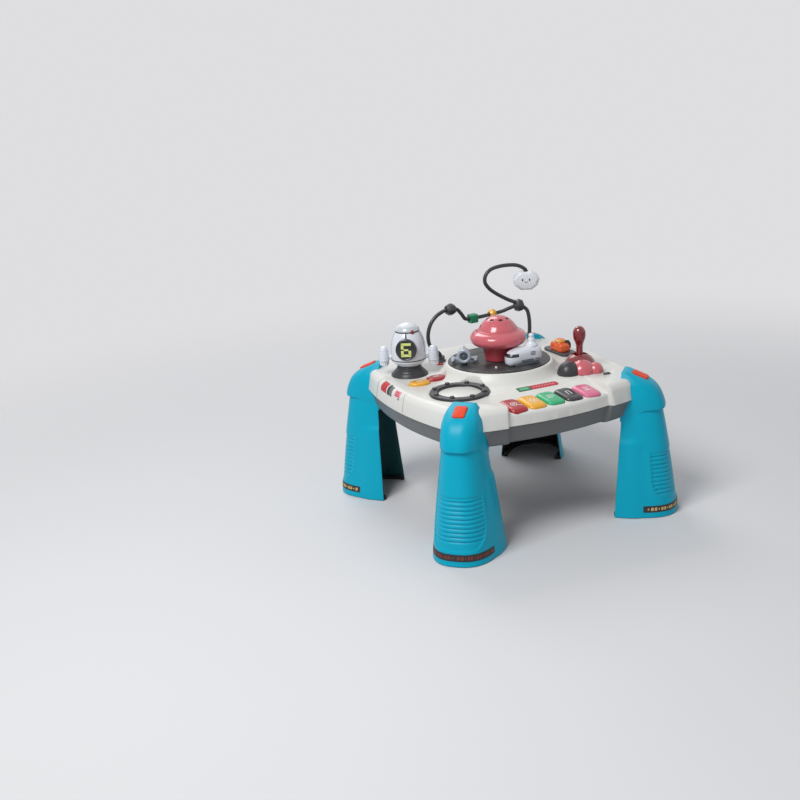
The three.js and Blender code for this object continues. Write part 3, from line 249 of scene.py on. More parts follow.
prints = {
    "printWhite": (232, 232, 228), "printRed": (190, 38, 48), "printBlack": (44, 44, 46),
    "printPink": (226, 140, 160), "printGreen": (38, 96, 62), "printRust": (122, 52, 42),
}
for finishName, paint in prints.items():
    plastic(finishName, *paint, roughness=0.45, wear=0.0, dust=0.0)
plastic("printGold", 206, 170, 110, roughness=0.4, wear=0.0, dust=0.0)
plastic("displayLime", 214, 222, 130, roughness=0.4, wear=0.0, dust=0.0)
print("finishes ready:", len(finishes))


# mesh helpers; sizes come in millimetres and leave in metres

def meshOf(vertices, faces, edges=()):
    mesh = bpy.data.meshes.new("work")
    mesh.from_pydata([tuple(value * mm for value in vertex) for vertex in vertices], edges, faces)
    return mesh


def tidyMesh(mesh, flatten=0.0):
    work = bmesh.new()
    work.from_mesh(mesh)
    bmesh.ops.remove_doubles(work, verts=work.verts, dist=0.000005)
    if flatten:
        bmesh.ops.dissolve_limit(work, angle_limit=math.radians(flatten), verts=work.verts, edges=work.edges)
    bmesh.ops.recalc_face_normals(work, faces=work.faces)
    work.to_mesh(mesh)
    work.free()
    return mesh


def lathe(profile, segments=72, centre=(0, 0)):
    vertices, faces, rings = [], [], []
    for radius, height in profile:
        start = len(vertices)
        count = 1 if radius < 1e-6 else segments
        for step in range(count):
            angle = 2 * math.pi * step / segments
            x, y = centre[0] + radius * math.cos(angle), centre[1] + radius * math.sin(angle)
            vertices.append((x, y, height))
        rings.append(list(range(start, start + count)))
    for low, high in zip(rings[:-1], rings[1:]):
        for step in range(segments):
            after = (step + 1) % segments
            if len(low) == 1 and len(high) == 1:
                continue
            if len(low) == 1:
                faces.append((low[0], high[after], high[step]))
            elif len(high) == 1:
                faces.append((low[step], low[after], high[0]))
            else:
                faces.append((low[step], low[after], high[after], high[step]))
    return tidyMesh(meshOf(vertices, faces))


def loft(rings, bottom=True):
    count = len(rings[0])
    faces = []
    for low in range(0, (len(rings) - 1) * count, count):
        for step in range(count):
            after = (step + 1) % count
            faces.append((low + step, low + after, low + count + after, low + count + step))
    if bottom:
        faces.append(tuple(reversed(range(count))))
    vertices = [point for ring in rings for point in ring]
    faces.append(tuple(range(len(vertices) - count, len(vertices))))
    return tidyMesh(meshOf(vertices, faces))


def sheetOf(rows):  # an open skin through rows of points
    wide = len(rows[0])
    starts = [row * wide + column for row in range(len(rows) - 1) for column in range(wide - 1)]
    return tidyMesh(meshOf([point for row in rows for point in row],
                           [(a, a + 1, a + wide + 1, a + wide) for a in starts]))


def softCorners(points, radius, closed=False, steps=4):
    soft = []
    count = len(points)
    for index, point in enumerate(points):
        here = Vector(point)
        if not closed and index in (0, count - 1):
            soft.append(tuple(here))
            continue
        before, after = Vector(points[index - 1]), Vector(points[(index + 1) % count])
        cut = min(radius, (before - here).length * 0.46, (after - here).length * 0.46)
        start = here + (before - here).normalized() * cut
        end = here + (after - here).normalized() * cut
        for step in range(steps + 1):
            t = step / steps
            soft.append(tuple(start * (1 - t) ** 2 + here * 2 * t * (1 - t) + end * t * t))
    return soft


def smoothLine(points, steps=4):  # a Catmull-Rom line through points of any dimension
    points = [Vector(point) for point in points]
    line = []
    for index in range(len(points) - 1):
        a, b = points[max(index - 1, 0)], points[index]
        c, d = points[index + 1], points[min(index + 2, len(points) - 1)]
        for step in range(steps):
            t = step / steps
            line.append(0.5 * ((2 * b) + (c - a) * t + (2 * a - 5 * b + 4 * c - d) * t * t
                               + (3 * b - a - 3 * c + d) * t ** 3))
    line.append(points[-1])
    return [tuple(point) for point in line]


def atHeight(outline, height):
    return [(x, y, height) for x, y in outline]


def grown(outline, factorX, factorY=None):
    return [(x * factorX, y * (factorX if factorY is None else factorY)) for x, y in outline]


def prism(outline, low, high):
    return loft([atHeight(outline, low), atHeight(outline, high)])


def spun(profile, radius, segments, centre=(0, 0), steps=4):  # lathed, with soft corners
    return lathe(softCorners(profile, radius, steps=steps), segments, centre)


def bore(radius, low, high, segments, centre=(0, 0)):  # a plain upright cylinder
    return lathe([(0, low), (radius, low), (radius, high), (0, high)], segments, centre)


def hoop(profile, radius, steps, segments, centre=(0, 0)):  # a lathed ring with a closed, softened section
    soft = softCorners(profile, radius, True, steps)
    return lathe(soft + [soft[0]], segments, centre)


def stack(outlineAt, levels):  # levels are pairs of growth or inset and height
    return loft([atHeight(outlineAt(change), height) for change, height in levels])


def roundBox(length, width, radius, steps=6):
    outline = []
    for turns, (signX, signY) in enumerate(((1, 1), (-1, 1), (-1, -1), (1, -1))):
        for step in range(steps + 1):
            angle = (turns + step / steps) * math.pi / 2
            outline.append((signX * (length / 2 - radius) + radius * math.cos(angle),
                            signY * (width / 2 - radius) + radius * math.sin(angle)))
    return outline


def oval(halfLength, halfWidth, degrees=0.0, steps=48):
    turned = []
    lean = math.radians(degrees)
    for step in range(steps):
        angle = 2 * math.pi * step / steps
        x, y = halfLength * math.cos(angle), halfWidth * math.sin(angle)
        turned.append((x * math.cos(lean) - y * math.sin(lean), x * math.sin(lean) + y * math.cos(lean)))
    return turned


def spread(first, last, steps):  # even steps from one value to another
    return [first + (last - first) * step / steps for step in range(steps + 1)]


def arc(radius, first, last, steps):  # between two angles in degrees
    angles = [math.radians(degrees) for degrees in spread(first, last, steps)]
    return [(radius * math.cos(angle), radius * math.sin(angle)) for angle in angles]


def quarter(steps=8):  # cosine and sine over a quarter turn
    return arc(1, 0, 90, steps)


def moved(mesh, matrix):
    mesh.transform(matrix)
    return mesh


def shift(x, y, z=0.0):
    return Matrix.Translation(Vector((x, y, z)) * mm)


def turn(degrees, axis="Z"):
    return Matrix.Rotation(math.radians(degrees), 4, axis)


def rawObject(name, data):
    piece = bpy.data.objects.new(name, data)
    bpy.context.scene.collection.objects.link(piece)
    return piece


def bakeModifiers(piece):
    bpy.context.view_layer.update()
    graph = bpy.context.evaluated_depsgraph_get()
    result = bpy.data.meshes.new_from_object(piece.evaluated_get(graph), depsgraph=graph)
    piece.modifiers.clear()
    piece.data = result
    return result


def addWall(piece, thickness):
    wall = piece.modifiers.new("wall", "SOLIDIFY")
    wall.thickness = thickness * mm
    wall.offset = -1
    return wall


def carve(mesh, cutters, operation="DIFFERENCE"):  # cutters are closed meshes
    for cutter in cutters:
        piece, tool = rawObject("blank", mesh), rawObject("cutter", cutter)
        modifier = piece.modifiers.new("carve", "BOOLEAN")
        modifier.operation = operation
        modifier.solver = "MANIFOLD"
        modifier.object = tool
        mesh = bakeModifiers(piece)
        for spent in (piece, tool):
            bpy.data.objects.remove(spent)
    return mesh


def joined(meshes):
    work = bmesh.new()
    for mesh in meshes:
        work.from_mesh(mesh)
    result = bpy.data.meshes.new("joined")
    work.to_mesh(result)
    work.free()
    return result


def dress(name, mesh, finish, body, stands=(), bevel=0.0, angle=32, thickness=0.0):
    piece = rawObject(name, mesh)
    wanted = [finishes[one] for one in ([finish] if isinstance(finish, str) else finish)]
    mesh.materials.clear()
    mesh.polygons.foreach_set("material_index", [0] * len(mesh.polygons))
    for material in wanted:
        mesh.materials.append(material)
    if thickness:
        wall = addWall(piece, thickness)
        wall.material_offset = wall.material_offset_rim = len(wanted) - 1
    if bevel:
        edge = piece.modifiers.new("softEdges", "BEVEL")
        edge.width = bevel * mm
        edge.segments = 2
        edge.limit_method = "ANGLE"
        edge.use_clamp_overlap = not thickness
        edge.angle_limit = math.radians(angle)
    if thickness or bevel:
        bakeModifiers(piece)
    mesh = piece.data
    mesh.name = name
    mesh.polygons.foreach_set("use_smooth", [True] * len(mesh.polygons))
    mesh.set_sharp_from_angle(angle=math.radians(angle))
    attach(piece, body)
    if stands:
        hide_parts(*stands)
    return piece


def softCopy(node, name, finish, body, bevel=0.5, angle=28):  # a cleaned, softened solid
    mesh = nodes[node].data.copy()
    return dress(name, tidyMesh(mesh, 0.6), finish, body, (node,), bevel, angle)


# geometry node trees for what repeats or follows a rule

def startShape(name, inputs):
    sockets = {"Geometry": "Geometry", **inputs, "Finish": "Material"}
    return startGroup(name, sockets, {"Geometry": "Geometry"}, "GeometryNodeTree")


def endShape(tree, given, result, geometry):
    real = addNode(tree, "GeometryNodeRealizeInstances", {"Geometry": geometry})
    feed(tree, result["Geometry"],
         addNode(tree, "GeometryNodeSetMaterial", {"Geometry": real, "Material": given["Finish"]}))
    return tree


def growMesh(tree, values, seed=None):
    holder = rawObject("grower", seed or bpy.data.meshes.new("seed"))
    modifier = holder.modifiers.new("grow", "NODES")
    modifier.node_group = tree
    for item in tree.interface.items_tree:
        if item.item_type == "SOCKET" and item.in_out == "INPUT" and item.name in values:
            modifier[item.identifier] = values[item.name]
    result = bakeModifiers(holder)
    bpy.data.objects.remove(holder)
    return result


def makeBentTube():  # a round tube along the seed's polyline
    tree, given, result = startShape("bentTube", {"Tube Radius": 0.003, "Sides": 20})
    path = addNode(tree, "GeometryNodeMeshToCurve", {"Mesh": given["Geometry"]})
    section = addNode(tree, "GeometryNodeCurvePrimitiveCircle",
                      {"Resolution": given["Sides"], "Radius": given["Tube Radius"]})
    sweep = addNode(tree, "GeometryNodeCurveToMesh",
                    {"Curve": path, "Profile Curve": section, "Fill Caps": True})
    return endShape(tree, given, result, sweep)


def spreadItems(tree, given, inputs):
    item = addNode(tree, "GeometryNodeObjectInfo", {"Object": given["Item"]}, "Geometry")
    return addNode(tree, "GeometryNodeInstanceOnPoints", {"Instance": item, **inputs})


def makeRoundRow():  # copies of an item round a circle, each turned to face outwards
    tree, given, result = startShape("roundRow", {"Item": "Object", "Count": 8, "Ring Radius": 0.04})
    circle = addNode(tree, "GeometryNodeMeshCircle",
                     {"Vertices": given["Count"], "Radius": given["Ring Radius"]})
    angle = addNode(tree, "GeometryNodeInputIndex") * (2 * math.pi) / given["Count"]
    heading = addNode(tree, "ShaderNodeCombineXYZ", {"Z": angle})
    return endShape(tree, given, result, spreadItems(tree, given, {"Points": circle, "Rotation": heading}))


def makePlacedRow():  # copies of an item on the seed's own points
    tree, given, result = startShape("placedRow", {"Item": "Object"})
    return endShape(tree, given, result, spreadItems(tree, given, {"Points": given["Geometry"]}))


def makeLegSkin():  # the outer skin of a leg: a tapered half ellipse with a ribbed panel in its face
    lengths = ("Foot Inner", "Foot Outer", "Foot Half", "Neck Inner", "Neck Outer", "Neck Half", "Bottom",
               "Top", "Neck Height", "Swell", "Wing", "Wing Top", "Panel Bottom", "Panel Top",
               "Panel Depth", "Rib Depth", "Rim")
    tree, given, result = startShape("legSkin", {"Columns": 73, "Rows": 120, "Squareness": 0.77, "Ribs": 11,
                                                 **dict.fromkeys(lengths, 0.0)})
    sheet = addNode(tree, "GeometryNodeMeshGrid",
                    {"Vertices X": given["Columns"], "Vertices Y": given["Rows"]})
    place = addNode(tree, "ShaderNodeSeparateXYZ", {0: addNode(tree, "GeometryNodeInputPosition")}, None)

    def between(low, high, share):
        return low + (high - low) * share

    height = between(given["Bottom"], given["Top"], place["Y"] + 0.5)
    rise = height / given["Neck Height"]
    angle = place["X"] * math.pi
    sine = calc("SINE", angle)
    steep = calc("ABSOLUTE", sine)
    reach = calc("MAXIMUM", calc("COSINE", angle), 0.0) ** given["Squareness"]
    width = calc("SIGN", sine) * steep ** given["Squareness"]
    inner = between(given["Foot Inner"], given["Neck Inner"], rise)
    swell = given["Swell"] * calc("SINE", rise * math.pi)
    outer = between(given["Foot Outer"], given["Neck Outer"], rise) + swell
    wing = given["Wing"] * (1.0 - fadeIn(height / given["Wing Top"], 0.9, 1.0))
    half = between(given["Foot Half"], given["Neck Half"], rise) + wing * fadeIn(steep, 0.9, 1.0)
    panelRise = (height - given["Panel Bottom"]) / (given["Panel Top"] - given["Panel Bottom"])
    low = 1.0 - calc("MULTIPLY", panelRise, 2.2, clamp=True)
    edge = calc("SQRT", 1.0 - low ** 2.0 * 0.66) * 0.6
    outward = calc("ABSOLUTE", place["X"]) * 2.0 - edge
    lift = fadeIn(panelRise, -0.012, 0.02) * (1.0 - fadeIn(panelRise, 0.98, 1.012))
    wave = (calc("COSINE", panelRise * given["Ribs"] * (2 * math.pi)) + 1.0) * 0.5
    sharp = wave ** 4.0 * (fadeIn(panelRise, 0.1, 0.13) * given["Rib Depth"])
    sunk = (1.0 - fadeIn(outward, -0.015, 0.015)) * lift * (given["Panel Depth"] + sharp)
    rim = fadeIn(outward, -0.02, 0.02) - fadeIn(outward, 0.03, 0.09)
    shrink = 1.0 - (sunk - rim * lift * given["Rim"]) / half
    spot = addNode(tree, "ShaderNodeCombineXYZ", {"X": inner + reach * (outer - inner) * shrink,
                                                  "Y": width * half * shrink, "Z": height})
    shape = addNode(tree, "GeometryNodeSetPosition", {"Geometry": sheet, "Position": spot})
    return endShape(tree, given, result, shape)


bentTube = makeBentTube()
roundRow = makeRoundRow()
placedRow = makePlacedRow()
legSkin = makeLegSkin()
print("geometry trees ready")


def rowOf(item, tree, values, finish, seed=None):
    source = rawObject("item", item)
    mesh = growMesh(tree, dict(values, Item=source, Finish=finishes[finish]), seed)
    bpy.data.objects.remove(source)
    return mesh


def ringRow(item, count, radius, finish):
    return rowOf(item, roundRow, {"Count": count, "Ring Radius": radius * mm}, finish)


def pointRow(item, points, finish):
    return rowOf(item, placedRow, {}, finish, meshOf(points, []))


# table top

table = {
    "halfWidth": 197.5, "endBulge": 20.35, "sideReach": 150.0, "deck": 228.0, "seam": 195.3,
    "underside": 165.0, "undersideInset": 17.0, "undersideRound": 8.5, "edgeRound": 13.0, "draft": 3.5,
    "sideSteps": 44, "mound": 107.0, "moundTop": 245.6, "door": (60, 40), "doorSize": (88, 58),
    "cornerReach": 193.0, "discSeat": 85.1, "spindleHole": 8.3, "roomRadius": 83.0, "roomTop": 240.5,
    "onDeck": 228.3, "onDisc": 247.3,
}
bay = {  # its floor falls from the deck at the rear line towards the front edge
    "rear": 110.0, "slope": 9.7, "half": 91.0, "corner": 8.0, "middleInset": 4.5, "endInset": 13.5,
    "step": 5.0, "blockProud": 2.0, "blockRound": 4.0, "lipRound": 5.0,
}
leg = {
    "headings": {"near": 225, "right": 315, "far": 45, "left": 135}, "inner": 206.6, "wall": 2.6, "ribs": 12,
    "footInner": 200.0, "footOuter": 294.0, "footHalf": 54.0, "neckInner": 209.0, "neckOuter": 269.0,
    "neckHalf": 32.6, "neckHeight": 176.0, "swell": 2.0, "squareness": 0.77,
    "capSlope": 22.0, "slopeX": 234.0, "slopeHeight": 228.2, "capTop": 236.0, "capFront": 177.0,
    "capSide": 158.0, "capBend": 249.0, "capBendRadius": 13.0, "capWall": 3.0,
    "latch": (26.0, 19.5, 3.5), "latchGap": 0.4, "rail": (199.6, 208.1, 11.5, 8.0),
    "railSlot": (199.0, 209.0, 12.2, 8.4),
    "capLevels": ((158, 69.4, 37.0), (177, 67.4, 36.3), (188, 65.4, 35.6), (203, 59.4, 34.0),
                  (213, 52.4, 32.4), (220.5, 43.4, 30.4), (228, 29.4, 27.5), (236, 9.4, 21.0)),
}
ringSpinner = {"place": (-117, -76), "knobs": 8, "knobRing": 41.25}
powerSwitch = {"place": (128, -128), "slot": (15.8, 8.8, 3.9)}


def sideAt(along):
    return table["halfWidth"] - table["endBulge"] * (along / table["sideReach"]) ** 2


def tableOutline(step):
    reach, steps = table["sideReach"], table["sideSteps"]
    block = [(along, -(sideAt(along) + bay["blockProud"]))
             for along in spread(-reach, -bay["half"] - step, 8)]
    lip = []
    for part in range(steps // 2 + 1):
        along = bay["half"] * (2 * part / steps - 1)
        inset = bay["middleInset"] + (bay["endInset"] - bay["middleInset"]) * (along / bay["half"]) ** 2
        lip.append((along, -(table["halfWidth"] - inset)))
    corner = softCorners([block[-2], block[-1], lip[0], lip[1]], bay["blockRound"])
    half = block[:-2] + corner + lip[2:]
    outline = half + [(-x, y) for x, y in reversed(half[:-1])]
    for cosine, sine in ((0, 1), (-1, 0), (0, -1)):
        for part in range(steps + 1):
            along = reach * (2 * part / steps - 1)
            out = -sideAt(along)
            outline.append((along * cosine - out * sine, along * sine + out * cosine))
    return outline


def insetTable(inset, height, step=bay["step"]):
    return atHeight(grown(tableOutline(step), 1 - inset / table["halfWidth"]), height)


def slabRings(bottom, top, edge, draft):
    rings = [insetTable(0, bottom), insetTable(draft, top - edge)]
    for cosine, sine in quarter()[1:]:
        rings.append(insetTable(draft + edge * (1 - cosine), top - edge + edge * sine))
    return rings


def roomMesh(*levels):  # the housing's room, kept clear of the corner slots
    rings = []
    for inset, height in levels:
        ring = []
        for x, y, z in insetTable(inset, height, 14):
            factor = min(1.0, table["cornerReach"] * math.sqrt(2) / (abs(x) + abs(y)))
            ring.append((x * factor, y * factor, z))
        rings.append(ring)
    return loft(rings)


def bayBlank(grow, flare=0.0):
    length = table["halfWidth"] - bay["rear"] + bay["corner"] + 14
    rings = []
    for share, height in ((0, 190.0), (0, 214.0), (0.5, 224.0), (1, 227.0), (2, 229.0), (4, 236.0)):
        outline = roundBox(2 * (bay["half"] + grow + share * flare), length + 2 * grow, bay["corner"])
        rings.append([(x, y - bay["rear"] + 1 - length / 2, height) for x, y in outline])
    return loft(rings)


def ontoBayFloor(x=0.0, y=0.0, z=0.0):  # a place on the sloping floor, counted from its rear line
    return shift(0, -bay["rear"], table["deck"]) @ turn(bay["slope"], "X") @ shift(x, y, z)


def shelfMesh():  # the same slab with its top sheared down towards the front edge
    fall = math.tan(math.radians(bay["slope"]))
    rings = [insetTable(0, table["seam"])]
    for ring in slabRings(table["seam"], table["deck"], bay["lipRound"], 1.2)[1:]:
        rings.append([(x, y, z + fall * (y + bay["rear"] - 1.8)) for x, y, z in ring])
    return carve(loft(rings), [bayBlank(0.8)], "INTERSECT")


def legPoint(angle, inner, outer, half):  # on the leg's rounded half section
    reach = max(math.cos(angle), 0.0) ** leg["squareness"] * (outer - inner)
    across = math.sin(angle)
    return inner + reach, math.copysign(abs(across) ** leg["squareness"], across) * half


def capSection(inner, reach, half, height, columns=48):  # flat front, two chamfers and two long sides
    root = 1 - 0.15 * min(1.0, max(0.0, (height - 218) / 8))  # nearly parallel sides where it is on the deck
    shoulder = 0.82 + 0.03 * min(1.0, max(0.0, (height - 185) / 20))
    side = [(0, -root * half), (0.7 * reach, -shoulder * half), (reach, -0.45 * half)]
    path = softCorners(side + [(x, -y) for x, y in reversed(side)], 0.17 * reach, steps=6)
    lengths = [0.0]
    for before, after in zip(path[:-1], path[1:]):
        lengths.append(lengths[-1] + math.dist(before, after))
    points, place = [], 0
    for step in range(columns + 1):
        target = lengths[-1] * step / columns
        while place < len(lengths) - 2 and lengths[place + 1] < target:
            place += 1
        share = (target - lengths[place]) / (lengths[place + 1] - lengths[place])
        start, end = path[place], path[place + 1]
        x = inner + start[0] + (end[0] - start[0]) * share
        points.append((x, start[1] + (end[1] - start[1]) * share, height))
    return points


def railOutline(inner, outer, wide, narrow):
    return [(inner, -wide), (outer, -narrow), (outer, narrow), (inner, wide)]


def cornerCutters():  # room for each leg's cap and for the tongue of its rail
    levels = [(150.0, 69.4, 37.0), *smoothLine(leg["capLevels"], 3), (244.0, 9.4, 21.0)]
    rings = [capSection(leg["inner"] - 0.4, reach + 0.8, half + 0.5, height)
             for height, reach, half in levels]
    return [moved(blank, turn(heading)) for heading in leg["headings"].values()
            for blank in (loft(rings), prism(railOutline(*leg["railSlot"]), 150, 219.4))]


def moundMesh(grow, bottom):
    foot, top = table["mound"] + grow, table["moundTop"] + grow
    slope = [(table["mound"], table["deck"]), (101.2, 230.1), (94.9, 236.1), (90.2, 243.1), (88.6, 244.9),
             (87.0, table["moundTop"])]
    profile = [(0, bottom), (foot, bottom), *((x + grow, z + grow) for x, z in smoothLine(slope, 5)),
               (86.2 + grow, top), (0, top)]
    return lathe(profile, 96)


buttons = {  # x, y, half length, half width, turn, rise and finish
    "yellow": (-146, 7, 18, 12, -8, 5.0, "sunYellow"), "red": (-111, 16, 18, 12, 4, 5.0, "signalRed"),
    "small": (-63, 92, 5.5, 5.5, 0, 2.5, "signalRed"),
}
keys = {
    "pitch": 33.4, "width": 30.4, "length": 42.0, "slant": -4.5, "rearGap": 33.5, "firstX": -71.0,
    "rise": 4.5, "finishes": {"red": "signalRed", "yellow": "sunYellow", "green": "leafGreen",
                              "black": "keyBlack", "pink": "keyPink"},
}


def keyOutline(grow):
    outline = roundBox(keys["width"] + 2 * grow, keys["length"] + 2 * grow, 9 + grow, 7)
    return [(x + keys["slant"] * y / keys["length"], y) for x, y in outline]


def keyPlace(index):
    return keys["firstX"] + index * keys["pitch"], -(keys["rearGap"] + keys["length"] / 2)


def buildTopShell():
    upper = loft(slabRings(table["seam"], table["deck"], table["edgeRound"], table["draft"]))
    body = carve(carve(upper, [moundMesh(0, 215.0)], "UNION"), [bayBlank(0.0, 1.0)])
    body = carve(body, [shelfMesh()], "UNION")
    ringSeat = [(34.2, 226), (48.3, 226), (48.6, 228.4), (49.2, 260), (33.2, 260), (33.9, 228.4), (34.2, 226)]
    seat = table["discSeat"]
    discSeat = [(0, 243), (seat, 243), (seat, 246), (seat + 0.5, 260), (0, 260)]
    cutters = [lathe(ringSeat, 72, ringSpinner["place"]), lathe(discSeat, 96),
               bore(table["spindleHole"], 190, 250, 32), *cornerCutters()]
    for index in range(len(keys["finishes"])):
        well = stack(keyOutline, ((0.7, -16), (0.7, -0.7), (1.5, 0.2), (1.5, 3)))
        cutters.append(moved(well, ontoBayFloor(*keyPlace(index))))
    for x, y, length, width, degrees, *_ in buttons.values():
        well = stack(lambda grow: oval(length + grow, width + grow, degrees),
                     ((0.5, 205), (0.5, 227.2), (1.3, 228.2), (1.3, 250)))
        cutters.append(moved(well, shift(x, y)))
    cutters.append(moved(prism(roundBox(*powerSwitch["slot"]), 205, 250), shift(*powerSwitch["place"])))
    cutters.append(roomMesh((3, 190), (4, 211)))
    cutters.append(bore(table["roomRadius"], 190, table["roomTop"], 72))
    body = tidyMesh(carve(body, cutters), 0.4)
    dress("deck_moulding", body, "deckWhite", "housing", ("top_shell",), 0.7, 38)


def buildBottomShell():
    inset, bottom, edge = table["undersideInset"], table["underside"], table["undersideRound"]
    rings = [insetTable(inset - edge * sine, bottom + edge * (1 - cosine)) for cosine, sine in quarter()]
    rings += [insetTable(*level) for level in ((4.4, 189), (2.3, 193), (2.6, 193.6), (4.4, 194), (4.5, 195))]
    boss = bore(13, 166, 172, 40)
    body = carve(carve(loft(rings), [roomMesh((16, 168), (5, 201))]), [boss], "UNION")
    slits = [(-90 + 5.6 * place, 60, 160) for place in range(-2, 3)]
    grille = pointRow(prism(roundBox(2.4, 24, 1.1), -6, 12), slits, "bellyGrey")
    door, (long, wide) = shift(*table["door"]), table["doorSize"]
    cutters = [grille, moved(prism(roundBox(long + 8, wide + 8, 2), 160, 167.7), door),
               moved(prism(roundBox(long, wide, 2), 160, 172), door), *cornerCutters()]
    body = tidyMesh(carve(body, cutters), 0.4)
    dress("belly_moulding", body, "bellyGrey", "housing", ("bottom_shell",), 0.5, 38)
    head = spun([(0, 0), (3.6, 0), (3.6, 0.9), (3.1, 1.6), (0, 1.9)], 0.3, 24)
    screw = carve(head, [prism(roundBox(*size, 0.2, 2), 0.9, 4) for size in ((4.4, 0.9), (0.9, 4.4))])
    spots = [(x, y, bottom + 0.3) for x in (-150, 0, 150) for y in (-110, 110)]
    spots += [(-150, 0, bottom + 0.3), (150, 0, bottom + 0.3)]
    screws = pointRow(moved(screw, turn(180, "X")), spots, "shaftSteel")
    dress("belly_screws", screws, "shaftSteel", "housing", angle=40)


def flatDecal(name, outline, height, finish, matrix):  # it lies 0.15 mm proud of what carries it
    dress(name, moved(prism(outline, height - 0.3, height + 0.15), matrix), finish, "housing", angle=40)


def sideStrip(name, first, last, low, high, finish, proud=0.2, columns=10, rows=6):
    strip = []
    flat = table["deck"] - table["edgeRound"]
    for height in spread(low, high, rows):
        drop = max(0.0, height - flat)
        inset = table["draft"] * min(1.0, (height - table["seam"]) / (flat - table["seam"]))
        inset += table["edgeRound"] - math.sqrt(max(0.0, table["edgeRound"] ** 2 - drop ** 2))
        factor = 1 - (inset - proud) / table["halfWidth"]
        strip.append([(-sideAt(along) * factor, along * factor, height)
                      for along in spread(first, last, columns)])
    dress(name, sheetOf(strip), finish, "housing", angle=60, thickness=0.25)


deckPrints = {
    "labelTurn": -1, "labelPlace": (2, -7.4), "ticks": 8, "tickPitch": 5.2, "peg": (74, -50),
    "panel": (  # name, first and last place along the side, lowest and highest edge, finish, rows
        ("red", 63, 39, 213, 227.5, "printRed", 16), ("black", 35, 26, 213, 227.5, "printBlack", 16),
        ("grey", 26, 16, 213, 227, "bellyGrey", 16), ("pink", 5, -14, 217.5, 226, "printPink", 12),
        ("dot", -8, -12, 213.5, 216.5, "printBlack", 4)),
    "bars": (218.6, 221.2, 223.7), "grooves": (81, -27),
}


def buildDeckPrints():
    label = ontoBayFloor(*deckPrints["labelPlace"]) @ turn(deckPrints["labelTurn"])
    flatDecal("label_bar", roundBox(56, 13, 6), 0, "printRed", label @ shift(9, 0))
    flatDecal("label_tab", roundBox(24, 13, 1.4), 0.15, "printGreen", label @ shift(-25, 0))
    flatDecal("label_tab_field", roundBox(17, 6.4, 1.2), 0.25, "leafGreen", label @ shift(-25, 0))
    spots = [(-8 + deckPrints["tickPitch"] * place, 0, 0.15) for place in range(deckPrints["ticks"])]
    ticks = pointRow(prism(roundBox(2.6, 4.4, 0.8), -0.2, 0.15), spots, "printPink")
    dress("label_ticks", moved(ticks, label), "printPink", "housing")
    for name, first, last, low, high, finish, rows in deckPrints["panel"]:
        sideStrip("panel_" + name, first, last, low, high, finish, rows=rows)
    for number, low in enumerate(deckPrints["bars"]):
        sideStrip("panel_bar_%d" % number, 3, -12 + 2 * number, low, low + 1.1, "printRed", 0.35, rows=3)
    # the side grooves are dark strips of painted shade, standing in for the shadow in the grooves
    for number, along in enumerate(deckPrints["grooves"]):
        sideStrip("side_groove_%d" % number, along, along - 0.8, 197, 227.6, "panelLine", 0.12, 2, 24)
    peg = spun([(0, 227), (4, 227), (4, 232), (0, 232.4)], 1.5, 32, deckPrints["peg"])
    dress("deck_peg", peg, "deckWhite", "housing")
    dot = spun([(0, 231), (1.4, 231), (1.4, 232.7), (0, 232.7)], 0.3, 20, deckPrints["peg"])
    dress("deck_peg_dot", dot, "playBlack", "housing")


# legs: one is made facing +X, and each corner gets a turned copy

def legSkinMesh():
    sizes = {"Neck Height": leg["neckHeight"], "Swell": leg["swell"], "Bottom": 0.8, "Top": 178.0,
             "Wing": 3.2, "Wing Top": 134.0, "Panel Bottom": 25.0, "Panel Top": 107.0, "Panel Depth": 0.6,
             "Rib Depth": 1.4, "Rim": 0.7}
    for part in ("Inner", "Outer", "Half"):
        sizes["Foot " + part] = leg["foot" + part]
        sizes["Neck " + part] = leg["neck" + part]
    values = {name: value * mm for name, value in sizes.items()}
    values.update({"Columns": 81, "Rows": 151, "Squareness": leg["squareness"], "Ribs": leg["ribs"],
                   "Finish": finishes["legBlue"]})
    return growMesh(legSkin, values)


def capMesh():
    columns, rows, low, top = 84, 44, leg["capSide"], leg["capTop"]
    line = smoothLine([(low, 62.6, 34.9), (166, 65.2, 35.3), (177, 67.2, 35.8), *leg["capLevels"][2:]], 8)

    def pointAt(level, column):
        for (z0, r0, h0), (z1, r1, h1) in zip(line[:-1], line[1:]):
            if level <= z1:
                break
        t = min(1.0, (level - z0) / max(z1 - z0, 1e-6))
        return capSection(leg["inner"], r0 + (r1 - r0) * t, h0 + (h1 - h0) * t, level, columns)[column]

    bottoms = []  # the sides reach lower than the front, with a round bend between them
    bend, front = leg["capBendRadius"], leg["capFront"]
    for column in range(columns + 1):
        past = pointAt(170, column)[0] - leg["capBend"]
        curved = front - bend + math.sqrt(max(0.0, bend ** 2 - past ** 2))
        bottoms.append(front if past > 0 else curved if past > -bend else low)
    rings = []
    for row in range(rows + 1):
        ring = []
        for column, bottom in enumerate(bottoms):
            x, y, z = pointAt(bottom + (top - bottom) * (row / rows) ** 0.85, column)
            slope = leg["slopeHeight"] - (x - leg["slopeX"]) * math.tan(math.radians(leg["capSlope"]))
            ring.append((x, y, min(z, slope)))
        rings.append(ring)
    shell = rawObject("cap", loft(rings, bottom=False))
    addWall(shell, leg["capWall"])
    result = bakeModifiers(shell)
    bpy.data.objects.remove(shell)
    return result


def ontoSlope(mesh):
    return moved(mesh, shift(leg["slopeX"], 0, leg["slopeHeight"]) @ turn(leg["capSlope"], "Y"))


def latchOutline(inset):
    long, wide, corner = leg["latch"]
    return roundBox(long - 2 * inset, wide - 2 * inset, max(corner - inset, 1.2))


def latchMesh():
    return ontoSlope(stack(latchOutline, ((0, -7), (0, 1.2), (0.35, 1.9), (1.0, 2.3), (2.2, 2.4))))


